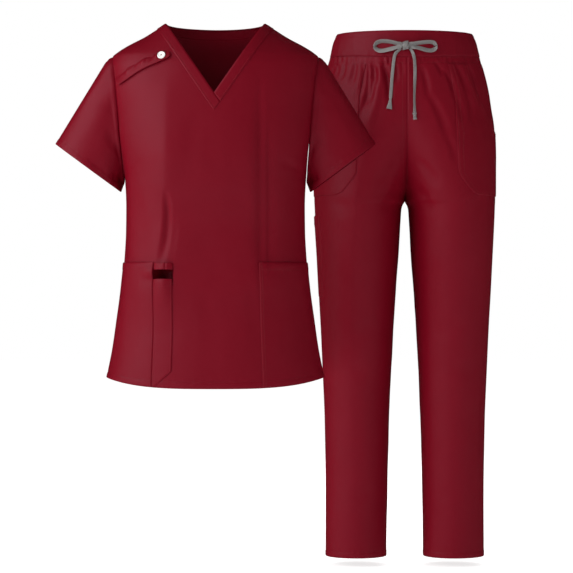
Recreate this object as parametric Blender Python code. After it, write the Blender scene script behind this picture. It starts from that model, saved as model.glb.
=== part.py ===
"""Medical scrubs: a short-sleeved V-neck top and a pair of drawstring trousers.

Both garments are hollow cloth that keeps its worn shape with nobody inside it, the top in front
of the trousers. The tables are in millimetres and a mesh is made in metres. The front faces -Y,
+X is to the right as the garments are looked at, and +Z is up. The origin lies midway between
the top's two neck points, where its shoulders rest on the wearer.
"""
import math

import bpy
import numpy as np
from mathutils import Vector

MM = 0.001

# ---------------------------------------------------------------- driving sizes, millimetres
WALL = 1.5                  # thickness of the cloth
GAP = 0.3                   # between two pieces that are sewn together
LIFT = 0.6                  # under a piece that lies across facets other than its own
HALF_GAP = GAP / 2

TORSO_SQUARE = 2.3          # 2 is an ellipse, more is a squarer section
HEM_DIP = 18                # the top's hem is this much lower in the middle than at the side
UNDERARM_LEVEL = -297
SHOULDER_LEVEL = -66        # the outer end of the shoulder seam
NECK_CORNER = 108           # half the width between the shoulder seams' inner ends
V_FOOT_LEVEL = -171         # the neckband's outer edge at the foot of the V
NECKBAND_WIDTH = 18
BACK_NECK_LEVEL = -7        # the back neckband's upper edge in the middle
CUFF_TIP = (-299, -227.5)   # the cuff's upper corner: x, z
CUFF_FOOT = (-177, -317)    # the cuff's lower corner: x, z
SLEEVE_CROWN = 6            # the sleeve's upper line rises this far beside the shoulder seam
CUFF_DEPTH = 53             # half the sleeve's opening from front to back

TROUSERS_X = 361            # the trousers' middle
TROUSERS_Y = 172            # their side seams lie this far behind the top's
WAIST_TOP_LEVEL = -6.7
WAIST_SEAM_SIDE = -51       # the seam under the waistband, at the sides
WAIST_SEAM_DIP = 7          # the seam is this much lower in the middle
CROTCH_LEVEL = -328
LEG_HEM_LEVEL = -1013

BUTTON_RADIUS = 7.5
BUTTON_THICKNESS = 2.4
BUTTON_PLACE = (-96, -71)   # x, z on the front
CORD_TUBE_RADIUS = 2.0      # a round solid that stands for the flat cord

# ---------------------------------------------------------------- tables of sections and folds
TORSO_COLUMNS = ("level", "half_width", "front_depth", "back_depth")
TORSO = (
    (1, 66, 55, 62),
    (-1, 83, 59, 66),
    (-3, 92.5, 62, 69),
    (-12, 107.5, 68, 75),
    (-29, 134.5, 78, 84),
    (-46, 166, 88, 93),
    (-57, 183, 95, 98),
    (-66, 193, 100, 101),
    (-84, 197.5, 107, 104),
    (-117, 197, 113, 107),
    (-165, 191, 118, 109),
    (-210, 185.5, 122, 109),
    (-255, 177, 124, 107),
    (-297, 169.5, 122, 103),
    (-345, 167.5, 116, 98),
    (-390, 168, 112, 96),
    (-444, 171, 113, 99),
    (-500, 176.5, 117, 107),
    (-555, 184, 121, 117),
    (-610, 192, 125, 125),
    (-662, 202.5, 128, 130),
    (-700, 210, 130, 132),
)
ARMHOLE_COLUMNS = ("level", "half_width")
ARMHOLE = (
    (-66, 193),
    (-76, 191),
    (-90, 188.8),
    (-117, 184.8),
    (-163, 180.2),
    (-210, 176.2),
    (-255, 172.3),
    (-297, 169.5),
)
FOLD_COLUMNS = ("top_x", "top_level", "foot_x", "foot_level", "depth", "half_width")
TOP_FRONT_FOLDS = (
    (-88, -168, -97, -470, 4.0, 15),
    (84, -160, 86, -470, 3.5, 12),
    (101, -255, 103, -460, 2.5, 12),
    (-150, -330, -128, -430, 2.0, 18),
)
TOP_BACK_FOLDS = (
    (-92, -150, -80, -500, 4.0, 26),
    (92, -160, 84, -520, 4.0, 26),
    (0, -230, 6, -470, 2.5, 30),
)
# Half the distance across both legs, how far the two legs' rounds have parted (0 is one round,
# 1 is two rounds that just touch), half the space between the legs, and the depths.
LEG_COLUMNS = ("level", "half_width", "parting", "half_space", "front_depth", "back_depth")
LEG = (
    (0, 131, 0, 0, 99, 99),
    (-8, 132.5, 0, 0, 100, 100),
    (-24, 138.4, 0, 0, 102, 102),
    (-36, 141.3, 0, 0, 104, 104),
    (-55, 145.5, 0, 0, 106, 107),
    (-74, 151.9, 0.02, 0, 109, 111),
    (-113, 161.6, 0.09, 0, 114, 119),
    (-152, 167.6, 0.22, 0, 118, 127),
    (-190, 173.2, 0.38, 0, 121, 133),
    (-230, 174.7, 0.56, 0, 122, 137),
    (-270, 175, 0.75, 0, 121.5, 138),
    (-300, 175, 0.89, 0, 121, 135),
    (-328, 174.7, 1, 0.3, 120, 131),
    (-336, 174.3, 1, 4.5, 119, 129),
    (-345, 173.9, 1, 6.8, 118.5, 127.5),
    (-364, 173.2, 1, 7.9, 117, 124),
    (-423, 170.3, 1, 11.6, 110, 113),
    (-500, 166.4, 1, 17, 98, 99),
    (-577, 162.2, 1, 22, 88, 89),
    (-655, 158.7, 1, 26.1, 80, 82),
    (-751, 154.8, 1, 30.3, 73, 76),
    (-906, 152.7, 1, 33.9, 67, 69),
    (-1013, 152.9, 1, 35.8, 65, 66),
)
# Gathers under the waistband at the front: a depth below nought is a ridge.
GATHER_COLUMNS = ("top_x", "foot_x", "foot_level", "depth", "half_width")
FRONT_GATHERS = (
    (-133, -138, -98, 2.5, 9),
    (-113, -122, -100, 2.5, 9),
    (-94, -105, -112, 3.0, 9),
    (-78, -88, -130, 3.0, 9),
    (-66, -78, -160, 5.0, 10),
    (-54, -74, -190, -3.0, 10),
    (-45, -37, -152, 5.0, 10),
    (-17, -13, -125, 2.5, 9),
    (15, 16, -112, 2.0, 8),
    (28, 97, -252, 4.5, 12),
    (58, 108, -184, 3.5, 10),
    (93, 128, -192, 3.5, 10),
    (120, 144, -142, 3.0, 9),
    (137, 152, -112, 2.5, 8),
)
BACK_GATHER_COUNT = 16

# The hip pocket on the viewer's right as two convex outlines: x from the trousers' middle, level.
HIP_POCKET_OUTLINES = (
    ((77, -68), (90.5, -132), (134, -132), (114.5, -68)),
    ((90.5, -132), (96.5, -278), (123, -314), (137, -320), (181, -320), (181, -215), (134, -132)),
)
CARGO_TOP_LEVEL = -357
CARGO_FOOT_LEVEL = -513
CARGO_FRONT_ANGLE = math.radians(26)
CARGO_BACK_ANGLE = math.radians(52)

# Strap on the viewer's left shoulder: its middle line over the front and its half width.
STRAP_COLUMNS = ("x", "level", "half_width")
STRAP = (
    (-178.5, -114.5, 8.5),
    (-163, -105, 9),
    (-145, -92.5, 9.5),
    (-124, -82, 9.5),
    (-104, -74, 9.5),
    (-93, -69.3, 9.2),
    (-86, -67.8, 8),
    (-81.5, -67, 5),
    (-79.6, -66.8, 2),
)

# Pockets of the top: x at the top edge and at the hem.
LEFT_POCKET_EDGE = (-106.2, -114)
PEN_POCKET_EDGE = (-72.6, -77.6)
RIGHT_POCKET_EDGE = (80.5, 88.5)
POCKET_TOP_LEVEL = -448.6
PEN_TOP_LEVEL = -480.6
PEN_CORNER_LEVEL = -648
LOOP_TOP_LEVEL = -450.5
LOOP_FOOT_LEVEL = -463.5
LOOP_STAND = 3              # the loop stands this far off the front in its middle

# Drawstring routes over the front: x from the trousers' middle, level, lift off the cloth.
TAIL_LEFT_ROUTE = (
    (-11.5, -44.4, 2.5), (-16, -46.6, 1.6), (-20.2, -49.5, 1.4), (-22.9, -53.5, 1.4), (-24.6, -59, 1.5),
    (-25.8, -66, 1.6), (-26.8, -75, 1.6), (-27.9, -85, 1.6), (-29, -96, 1.6), (-29.9, -107, 1.6),
    (-30.6, -118, 1.6), (-31.5, -129, 1.6), (-32.5, -139, 1.6), (-33.4, -147, 1.6), (-34.2, -153, 1.6),
    (-34.9, -157.5, 1.6),
)
TAIL_RIGHT_ROUTE = (
    (4, -44.2, 2.5), (7.4, -46.2, 1.6), (9.9, -50, 1.4), (11.7, -55, 1.4), (12.9, -60.5, 1.5),
    (13.8, -68, 1.6), (14.2, -77, 1.6), (14.3, -87, 1.6), (14, -98, 1.6), (13.6, -109, 1.6),
    (13.2, -121, 1.6), (12.9, -132, 1.6), (12.8, -142, 1.6), (13.1, -152, 1.6), (13.2, -162, 1.6),
)
END_KNOT_PLACE = (13.2, -167.5)
END_STUB_ROUTE = ((13.3, -173, 1.6), (13.7, -175, 1.6), (14.2, -177.3, 1.6))
LOOP_LEFT_ROUTE = (
    (-11.1, -34.2, 4.5), (-17, -33.6, 4.8), (-23.5, -32.2, 5), (-30, -30.6, 5), (-37, -29.2, 4.5),
    (-44, -28.4, 4), (-50.5, -28.4, 3.5), (-56.5, -30.2, 3), (-60.2, -34, 3), (-60.8, -38.8, 3),
    (-58.2, -43.2, 3), (-53, -45.8, 3), (-46.5, -46.2, 3), (-39.5, -45.2, 3), (-30, -42.8, 3),
    (-20, -40.6, 3.2), (-11.1, -39.6, 3.4),
)
LOOP_RIGHT_ROUTE = (
    (3.7, -34.2, 4.5), (10, -33.6, 4.8), (17, -32.6, 5), (24, -31.6, 5), (31, -30.9, 4.5),
    (38, -30.2, 4), (44.5, -29.9, 3.5), (49.8, -31, 3), (53.4, -34.4, 3), (54.2, -38.8, 3),
    (52, -43, 3), (47, -45.6, 3), (41, -45.9, 3), (34, -44.7, 3), (25, -42.4, 3), (15, -40.4, 3.2),
    (3.7, -39.4, 3.4),
)
BOW_KNOT_PLACE = (-3.7, -36.9)
BOW_KNOT_RADII = (7.5, 5, 8.5)
END_KNOT_RADII = (4.5, 3.8, 5)

MATERIALS = {
    "scrub_cloth": ((0.19, 0.010, 0.018), 0.85),
    "rib_cloth": ((0.16, 0.009, 0.016), 0.9),
    "cord_grey": ((0.20, 0.18, 0.18), 0.7),
    "button_white": ((0.85, 0.84, 0.82), 0.35),
}


# ---------------------------------------------------------------- curves through the tables
def smooth_curve(keys, values):
    """Return a function that runs smoothly through the values, with no overshoot."""
    order = np.argsort(keys)
    key = np.array(keys, float)[order]
    value = np.array(values, float)[order]
    step = np.diff(key)
    rise = np.diff(value) / step
    slope = np.zeros(len(key))
    slope[0] = rise[0]
    slope[-1] = rise[-1]
    for i in range(1, len(key) - 1):
        if rise[i - 1] * rise[i] > 0:
            before = 2 * step[i] + step[i - 1]
            after = step[i] + 2 * step[i - 1]
            slope[i] = (before + after) / (before / rise[i - 1] + after / rise[i])

    def value_at(at):
        at = np.clip(at, key[0], key[-1])
        i = np.clip(np.searchsorted(key, at) - 1, 0, len(key) - 2)
        t = (at - key[i]) / step[i]
        start = (1 + 2 * t) * (1 - t) ** 2 * value[i] + t * (1 - t) ** 2 * step[i] * slope[i]
        end = t * t * (3 - 2 * t) * value[i + 1] + t * t * (t - 1) * step[i] * slope[i + 1]
        return start + end

    return value_at


def column(table, columns, name):
    return [row[columns.index(name)] for row in table]


def table_curve(table, columns, name):
    return smooth_curve(column(table, columns, "level"), column(table, columns, name))


def ramp(value, start, end):
    """Rise smoothly from 0 at start to 1 at end."""
    t = np.clip((value - start) / (end - start), 0, 1)
    return t * t * (3 - 2 * t)


def bell(distance, half_width):
    return np.where(abs(distance) < half_width, 0.5 + 0.5 * np.cos(math.pi * distance / half_width), 0)


def unit(vectors):
    return vectors / np.linalg.norm(vectors, axis=-1, keepdims=True)


# ---------------------------------------------------------------- the top's surface
torso_width = table_curve(TORSO, TORSO_COLUMNS, "half_width")
torso_front = table_curve(TORSO, TORSO_COLUMNS, "front_depth")
torso_back = table_curve(TORSO, TORSO_COLUMNS, "back_depth")
armhole_width = table_curve(ARMHOLE, ARMHOLE_COLUMNS, "half_width")
RIDGE_LEVELS = np.linspace(1, SHOULDER_LEVEL, 300)
RIDGE_WIDTHS = torso_width(RIDGE_LEVELS)


def ridge_level(x):
    """Level of the shoulder line above a point."""
    return np.interp(abs(x), RIDGE_WIDTHS, RIDGE_LEVELS)


def fold_height(x, level, folds):
    """Height of the long soft folds of a panel: troughs are below nought."""
    height = 0
    for top_x, top_level, foot_x, foot_level, depth, half_width in folds:
        along = (top_level - level) / (top_level - foot_level)
        line = top_x + (foot_x - top_x) * along
        fade = ramp(along, 0, 0.35) * (1 - ramp(along, 0.8, 1))
        height = height - depth * fade * bell(x - line, half_width)
    return height


def torso_point(x, level, side):
    """Point and outward normal of the top at a place in front view; side is -1 for the front."""
    depth_curve = torso_front if side < 0 else torso_back
    folds = TOP_FRONT_FOLDS if side < 0 else TOP_BACK_FOLDS
    power = TORSO_SQUARE
    width = torso_width(level)
    depth = depth_curve(level)
    across = np.clip(abs(x) / width, 0, 1)
    outward = (1 - across ** power) ** (1 / power)
    widening = (torso_width(level + 0.5) - torso_width(level - 0.5)) / width
    deepening = (depth_curve(level + 0.5) - depth_curve(level - 0.5)) / depth
    normal = np.array([
        across ** (power - 1) / width * np.sign(x),
        side * outward ** (power - 1) / depth,
        -(across ** power * widening + outward ** power * deepening),
    ])
    normal = normal / np.linalg.norm(normal)
    height = fold_height(x, level, folds)
    point = np.array([x, side * depth * outward, level]) + normal * height
    return point, normal


# ---------------------------------------------------------------- the trousers' surface
leg_outer = table_curve(LEG, LEG_COLUMNS, "half_width")
leg_parting = table_curve(LEG, LEG_COLUMNS, "parting")
leg_space = table_curve(LEG, LEG_COLUMNS, "half_space")
leg_front = table_curve(LEG, LEG_COLUMNS, "front_depth")
leg_back = table_curve(LEG, LEG_COLUMNS, "back_depth")


def leg_round(level):
    """Middle and half width of one leg's round."""
    outer = leg_outer(level)
    if level > CROTCH_LEVEL:
        parting = leg_parting(level)
        middle = outer * parting / (1 + parting)
    else:
        middle = (outer + leg_space(level)) / 2
    return middle, outer - middle


def inner_angle(level):
    """Angle round a leg, from its outer seam to its panels' inner edge."""
    return math.pi - math.acos(min(leg_parting(level), 1)) if level > CROTCH_LEVEL else math.pi


def waist_seam_level(x):
    return WAIST_SEAM_SIDE - WAIST_SEAM_DIP * (1 - min(1, abs(x) / leg_outer(-55)) ** 2)


def back_gathers():
    """Uneven gathers across the back, in the columns of the front's table."""
    rows = []
    for i in range(BACK_GATHER_COUNT):
        share = (i + 0.5) / BACK_GATHER_COUNT
        top_x = -140 + 280 * share + 4 * math.sin(5 * i)
        spread = 1.10 + 0.05 * math.sin(3 * i)
        foot_level = -112 - 34 * (0.5 + 0.5 * math.sin(2.3 * i + 1))
        depth = 2.6 + 1.2 * math.sin(4.1 * i + 2)
        rows.append((top_x, top_x * spread, foot_level, depth, 9 + math.sin(7 * i)))
    return tuple(rows)


BACK_GATHERS = back_gathers()


def gather_height(x, level, side):
    """Height of the gathers under the waistband, nought at its seam."""
    seam = WAIST_SEAM_SIDE - WAIST_SEAM_DIP
    height = 0
    for top_x, foot_x, foot_level, depth, half_width in (FRONT_GATHERS if side < 0 else BACK_GATHERS):
        along = (seam - level) / (seam - foot_level)
        line = top_x + (foot_x - top_x) * along
        fade = ramp(seam - level, 0, 9) * (1 - ramp(along, 0.45, 1))
        height = height - depth * fade * bell(x - line, half_width)
    return height


def leg_point(angle, level, leg, side):
    """Point of a leg: angle 0 is the outer seam; leg is -1 for the viewer's left."""
    middle, half = leg_round(level)
    depth = leg_front(level) if side < 0 else leg_back(level)
    x = middle + half * math.cos(angle)
    y = side * depth * math.sin(angle)
    return np.array([leg * x, y, level])


def leg_surface(share, level, leg, side):
    """Point and normal on a leg panel: share runs from the outer seam, 0, to the inner edge, 1."""
    angle = share * inner_angle(level)
    point = leg_point(angle, level, leg, side)
    around = leg_point(angle + 0.01, level, leg, side) - leg_point(angle - 0.01, level, leg, side)
    up = leg_point(angle, level + 0.5, leg, side) - leg_point(angle, level - 0.5, leg, side)
    normal = np.cross(around, up)
    normal = normal / np.linalg.norm(normal)
    middle = leg_round(level)[0]
    outward = np.array([point[0] - leg * middle, point[1], 0])
    if normal.dot(outward) < 0:
        normal = -normal
    seam_fade = ramp(angle, 0, 0.3)
    height = gather_height(point[0], level, side) * seam_fade
    place = np.array([TROUSERS_X, TROUSERS_Y, 0])
    return point + normal * height + place, normal


def trousers_front_y(x, level):
    """Depth of the trousers' or waistband's front at a place in front view."""
    middle, half = leg_round(level)
    angle = math.acos(max(-1, min(1, (abs(x) - middle) / half)))
    leg = -1 if x < 0 else 1
    height = gather_height(x, level, -1) if level < waist_seam_level(x) else 0
    return leg_point(angle, level, leg, -1)[1] - height + TROUSERS_Y


# ---------------------------------------------------------------- sheets and walls
class Sheet:
    """A surface of triangles with a normal at each point, before it gets its thickness."""

    def __init__(self):
        self.points = []
        self.normals = []
        self.triangles = []
        self.places = {}

    def add(self, point, normal):
        key = tuple(np.round(point, 3))
        if key not in self.places:
            self.places[key] = len(self.points)
            self.points.append(np.array(point, float))
            self.normals.append(np.array(normal, float))
        return self.places[key]

    def add_triangles(self, triangles):
        """Add a patch's triangles, turned so that they face along its normals."""
        triangles = [corners for corners in triangles if len(set(corners)) == 3]
        facing = 0
        for a, b, c in triangles:
            cross = np.cross(self.points[b] - self.points[a], self.points[c] - self.points[a])
            facing += cross.dot(self.normals[a] + self.normals[b] + self.normals[c])
        if facing < 0:
            triangles = [(a, c, b) for a, b, c in triangles]
        self.triangles += triangles

    def add_grid(self, points, normals, closed=False):
        """Join rows of points; closed joins the last column to the first."""
        rows = len(points)
        columns = len(points[0])
        index = [[self.add(points[r][c], normals[r][c]) for c in range(columns)] for r in range(rows)]
        last = columns if closed else columns - 1
        triangles = []
        for r in range(rows - 1):
            for c in range(last):
                d = (c + 1) % columns
                triangles.append((index[r][c], index[r][d], index[r + 1][d]))
                triangles.append((index[r][c], index[r + 1][d], index[r + 1][c]))
        self.add_triangles(triangles)

    def add_step(self, fine_row, coarse_row):
        """Join a row to one with half as many cells; each row is a list of (point, normal)."""
        fine = [self.add(*pair) for pair in fine_row]
        coarse = [self.add(*pair) for pair in coarse_row]
        triangles = []
        for c in range(len(coarse) - 1):
            triangles.append((fine[2 * c], fine[2 * c + 1], coarse[c]))
            triangles.append((fine[2 * c + 1], coarse[c + 1], coarse[c]))
            triangles.append((fine[2 * c + 1], fine[2 * c + 2], coarse[c + 1]))
        self.add_triangles(triangles)

    def set_normal(self, point, normal):
        self.normals[self.places[tuple(np.round(point, 3))]] = normal

    def clipped(self, outlines):
        """The part inside convex outlines in front view, each counter-clockwise as (x, level)."""
        result = Sheet()
        for outline in outlines:
            for corners in self.triangles:
                shape = [np.concatenate([self.points[i], self.normals[i]]) for i in corners]
                for start, end in zip(outline, outline[1:] + outline[:1]):
                    shape = cut_shape(shape, start, end)
                if len(shape) >= 3:
                    index = [result.add(p[:3], unit(p[3:])) for p in shape]
                    fan = [(index[0], index[i], index[i + 1]) for i in range(1, len(index) - 1)]
                    result.add_triangles(fan)
        return result


def cut_shape(shape, start, end):
    """Keep the part of a flat shape to the left of a line in front view."""
    run = end[0] - start[0]
    rise = end[1] - start[1]
    inside = [run * (p[2] - start[1]) - rise * (p[0] - start[0]) for p in shape]
    kept = []
    for i, p in enumerate(shape):
        j = (i + 1) % len(shape)
        if inside[i] >= 0:
            kept.append(p)
        if (inside[i] >= 0) != (inside[j] >= 0):
            kept.append(p + (shape[j] - p) * inside[i] / (inside[i] - inside[j]))
    return kept


def rim_edges(triangles):
    """Edges that only one triangle has, in that triangle's direction."""
    edges = {}
    for a, b, c in triangles:
        for start, end in ((a, b), (b, c), (c, a)):
            edges[(start, end)] = True
    return [edge for edge in edges if (edge[1], edge[0]) not in edges]


def add_material(obj, name):
    material = bpy.data.materials.get(name)
    if material is None:
        colour, roughness = MATERIALS[name]
        material = bpy.data.materials.new(name)
        material.use_nodes = True
        shader = material.node_tree.nodes["Principled BSDF"]
        shader.inputs["Base Color"].default_value = (*colour, 1)
        shader.inputs["Roughness"].default_value = roughness
        shader.inputs["Metallic"].default_value = 0
    obj.data.materials.append(material)


def mesh_object(name, points, faces, material):
    """Make an object from points in millimetres."""
    mesh = bpy.data.meshes.new(name)
    mesh.from_pydata([Vector(p) * MM for p in points], [], faces)
    mesh.update()
    mesh.shade_smooth()
    mesh.set_sharp_from_angle(angle=math.radians(40))
    obj = bpy.data.objects.new(name, mesh)
    bpy.context.scene.collection.objects.link(obj)
    add_material(obj, material)
    return obj


def cloth_wall(name, sheet, inner=-WALL, outer=0.0, material="scrub_cloth"):
    """Closed wall between two distances off a sheet, measured along its normals."""
    count = len(sheet.points)
    points = [p + n * outer for p, n in zip(sheet.points, sheet.normals)]
    points += [p + n * inner for p, n in zip(sheet.points, sheet.normals)]
    faces = list(sheet.triangles)
    faces += [(a + count, c + count, b + count) for a, b, c in sheet.triangles]
    for a, b in rim_edges(sheet.triangles):
        faces.append((b, a, a + count))
        faces.append((b, a + count, b + count))
    return mesh_object(name, points, faces, material)


# ---------------------------------------------------------------- the top's panels
def side_width(level):
    """Half width of the front and back panels at their outer edge."""
    return armhole_width(level) if level > UNDERARM_LEVEL else torso_width(level)


def hem_level(x, level):
    """Bend the levels near the top's hem into its curve."""
    share = (level - POCKET_TOP_LEVEL) / (TORSO_HEM - POCKET_TOP_LEVEL)
    if share <= 0:
        return level
    curve = 1 - min(1, abs(x) / torso_width(TORSO_HEM)) ** 3.3
    return level - HEM_DIP * curve * share ** 1.5


TORSO_HEM = -662
FRONT_COLUMNS = 11          # in each half
FRONT_LEVELS = (
    -662, -640, -610, -578, -545, -512, -480.6, -448.6, -415, -375, -335, -297, -272, -245,
    -220, -195, -171,
)
# Rows above the foot of the V: the level at the neckline and at the armhole.
FRONT_UPPER_ROWS = (
    (-150, -153), (-126, -137), (-102, -121), (-78, -106), (-57, -93), (-40, -83), (-27, -75.5),
    (-18.5, -70),
)
V_SLOPE = NECK_CORNER / (ridge_level(NECK_CORNER) - V_FOOT_LEVEL)


def v_edge(level):
    """Half width of the neckline that the neckband is sewn to."""
    return max(0, (level - V_FOOT_LEVEL) * V_SLOPE)


def pocket_edge_x(edge, level):
    share = (POCKET_TOP_LEVEL - level) / (POCKET_TOP_LEVEL - TORSO_HEM)
    return edge[0] + (edge[1] - edge[0]) * max(0, share)


def front_fraction(half, c, level):
    """Share of a column of the front between its middle and its side, bent to pocket edges."""
    even = math.sin(c / FRONT_COLUMNS * math.pi / 2)
    level = min(level, POCKET_TOP_LEVEL)
    if half < 0:
        guides = ((0, 0), (3, -pocket_edge_x(PEN_POCKET_EDGE, level)),
                  (5, -pocket_edge_x(LEFT_POCKET_EDGE, level)), (FRONT_COLUMNS, None))
    else:
        guides = ((0, 0), (4, pocket_edge_x(RIGHT_POCKET_EDGE, level)), (FRONT_COLUMNS, None))
    marks = [math.sin(g[0] / FRONT_COLUMNS * math.pi / 2) for g in guides]
    shares = [1 if g[1] is None else g[1] / torso_width(level) for g in guides]
    return float(np.interp(even, marks, shares))


def front_rows(half):
    """Rows of (x, level) of half the front, from the hem to the shoulder seam."""
    rows = []
    for level in FRONT_LEVELS:
        row = []
        for c in range(FRONT_COLUMNS + 1):
            share = front_fraction(half, c, level)
            bent = hem_level(share * torso_width(TORSO_HEM), level)
            row.append((half * share * side_width(bent), bent))
        rows.append(row)
    neck_level = ridge_level(NECK_CORNER)
    for inner, outer in FRONT_UPPER_ROWS:
        weight = ramp(inner, V_FOOT_LEVEL, neck_level)
        row = []
        for c in range(FRONT_COLUMNS + 1):
            share = front_fraction(half, c, 0)
            x = v_edge(inner) + share * (side_width(outer) - v_edge(inner))
            straight = neck_level + share * (SHOULDER_LEVEL - neck_level)
            bulge = (ridge_level(x) - straight) * weight * (1 if 0 < c < FRONT_COLUMNS else 0)
            row.append((half * x, inner + share * (outer - inner) + bulge))
        rows.append(row)
    row = []
    for c in range(FRONT_COLUMNS + 1):
        share = front_fraction(half, c, 0)
        x = NECK_CORNER + share * (armhole_width(SHOULDER_LEVEL) - NECK_CORNER)
        row.append((half * x, float(ridge_level(x))))
    rows.append(row)
    return rows


def front_sheet():
    sheet = Sheet()
    for half in (-1, 1):
        points = []
        normals = []
        for row in front_rows(half):
            pairs = [torso_point(x, level, -1) for x, level in row]
            points.append([p - np.array([0, HALF_GAP, 0]) for p, n in pairs])
            normals.append([n for p, n in pairs])
        sheet.add_grid(points, normals)
    return sheet


def back_neck_level(x, upper):
    """Level of the back neckband's upper or lower edge."""
    corner_x = BAND_CORNER if upper else NECK_CORNER
    corner = ridge_level(corner_x)
    middle = BACK_NECK_LEVEL if upper else BACK_NECK_LEVEL - NECKBAND_WIDTH
    power = 2 if upper else 2.6
    return middle + (corner - middle) * min(1, abs(x) / corner_x) ** power


BAND_CORNER = 92            # half the width between the neckband's inner edges at the shoulders
BACK_SHARES = (0, 0.17, 0.33, 0.46, 0.5596, 0.64, 0.72, 0.8, 0.88, 0.95, 1)
NECK_CORNER_COLUMN = 4
BACK_LEVELS = (
    -662, -600, -530, -460, -400, -345, -297, -250, -205, -163, -128, -100, -82, -71, -66,
)


def back_sheet():
    sheet = Sheet()
    shares = [-s for s in reversed(BACK_SHARES[1:])] + list(BACK_SHARES)
    points = []
    normals = []
    for level in BACK_LEVELS:
        row = []
        up = (level - TORSO_HEM) / (SHOULDER_LEVEL - TORSO_HEM)
        for share in shares:
            x = share * side_width(level)
            top_x = share * side_width(SHOULDER_LEVEL)
            top = ridge_level(top_x) if abs(top_x) >= NECK_CORNER - 0.1 else back_neck_level(top_x, False)
            bottom = hem_level(share * side_width(TORSO_HEM), TORSO_HEM)
            row.append(torso_point(x, bottom + up * (top - bottom), 1))
        points.append([p + np.array([0, HALF_GAP, 0]) for p, n in row])
        normals.append([n for p, n in row])
    sheet.add_grid(points, normals)
    return sheet


# ---------------------------------------------------------------- sleeves
SLEEVE_SHARES = (0, 0.1, 0.3, 0.6, 0.85, 1)


def armhole_ring(half):
    """The armhole seam from the shoulder down the front and up the back, with each side's sign."""
    front = [outer for inner, outer in reversed(FRONT_UPPER_ROWS)]
    front += [level for level in reversed(FRONT_LEVELS) if level > UNDERARM_LEVEL]
    back = [level for level in BACK_LEVELS if UNDERARM_LEVEL < level < SHOULDER_LEVEL]
    ring = [(SHOULDER_LEVEL, 0)]
    ring += [(level, -1) for level in front]
    ring += [(UNDERARM_LEVEL, 0)]
    ring += [(level, 1) for level in back]
    points = []
    normals = []
    for level, side in ring:
        point, normal = torso_point(half * side_width(level), level, side if side else -1)
        point[1] = point[1] + side * HALF_GAP if side else 0
        points.append(point)
        normals.append(normal)
    return ring, points, normals


def cuff_ring(half, ring_points, underarm):
    """Points of the cuff that face the armhole's points, by their share of the way round."""
    count = len(ring_points)
    steps = [np.linalg.norm(ring_points[(i + 1) % count] - ring_points[i]) for i in range(count)]
    front = sum(steps[:underarm])
    back = sum(steps[underarm:])
    tip = np.array([half * abs(CUFF_TIP[0]), 0, CUFF_TIP[1]])
    foot = np.array([half * abs(CUFF_FOOT[0]), 0, CUFF_FOOT[1]])
    middle = (tip + foot) / 2
    points = []
    travelled = 0
    for i in range(count):
        if i <= underarm:
            angle = math.pi * travelled / front
        else:
            angle = math.pi + math.pi * (travelled - front) / back
        point = middle + (tip - foot) / 2 * math.cos(angle)
        point[1] = -CUFF_DEPTH * math.sin(angle)
        points.append(point)
        travelled += steps[i]
    return points


def sleeve(half, front, back):
    """Sleeve sheet; the panels' armhole edges turn to the seam's own direction with it."""
    ring, seam, torso_normals = armhole_ring(half)
    underarm = ring.index((UNDERARM_LEVEL, 0))
    cuff = cuff_ring(half, seam, underarm)
    count = len(seam)
    rows = []
    for share in SLEEVE_SHARES:
        row = []
        for c in range(count):
            point = seam[c] + (cuff[c] - seam[c]) * share
            round_share = c / underarm if c < underarm else (count - c) / (count - underarm)
            top = 0.5 + 0.5 * math.cos(math.pi * round_share)
            crown = SLEEVE_CROWN * top * (1 - share) * ramp(share, 0, 0.1)
            row.append(point + np.array([half * 0.85, 0, 0.52]) * crown)
        rows.append(row)
    normals = []
    for r, row in enumerate(rows):
        middle = sum(row) / count
        above = rows[max(r - 1, 0)]
        below = rows[min(r + 1, len(rows) - 1)]
        line = []
        for c in range(count):
            around = row[(c + 1) % count] - row[c - 1]
            normal = np.cross(around, below[c] - above[c])
            normal = normal / np.linalg.norm(normal)
            line.append(normal if normal.dot(row[c] - middle) > 0 else -normal)
        normals.append(line)
    for c in range(count):
        seam_normal = torso_normals[c] + normals[0][c]
        level, side = ring[c]
        if side == 0:
            seam_normal[1] = 0
        seam_normal = seam_normal / np.linalg.norm(seam_normal)
        around = seam[(c + 1) % count] - seam[c - 1]
        away = np.cross(around, seam_normal)
        away = away / np.linalg.norm(away)
        if away.dot(cuff[c] - seam[c]) < 0:
            away = -away
        normals[0][c] = seam_normal
        rows[0][c] = seam[c] + away * GAP
        for sheet, sign in ((front, -1), (back, 1)):
            if side in (0, sign):
                point = np.array([seam[c][0], seam[c][1], seam[c][2]])
                if side == 0:
                    point[1] = sign * HALF_GAP
                sheet.set_normal(point, seam_normal)
    sheet = Sheet()
    sheet.add_grid(rows, normals, closed=True)
    return sheet


# ---------------------------------------------------------------- neckband
BAND_ACROSS = (0, 0.5, 1)
BAND_SIDE_STEP = NECKBAND_WIDTH * math.cos(math.atan(V_SLOPE))
BAND_RISE = NECKBAND_WIDTH * math.sin(math.atan(V_SLOPE))
SEAM_STEP = GAP / math.cos(math.atan(V_SLOPE))
V_POINT_LEVEL = V_FOOT_LEVEL + BAND_SIDE_STEP / V_SLOPE + BAND_RISE
V_LAP_LEVEL = (V_FOOT_LEVEL + V_POINT_LEVEL) / 2
V_LAP_X = v_edge(V_LAP_LEVEL)


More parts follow.
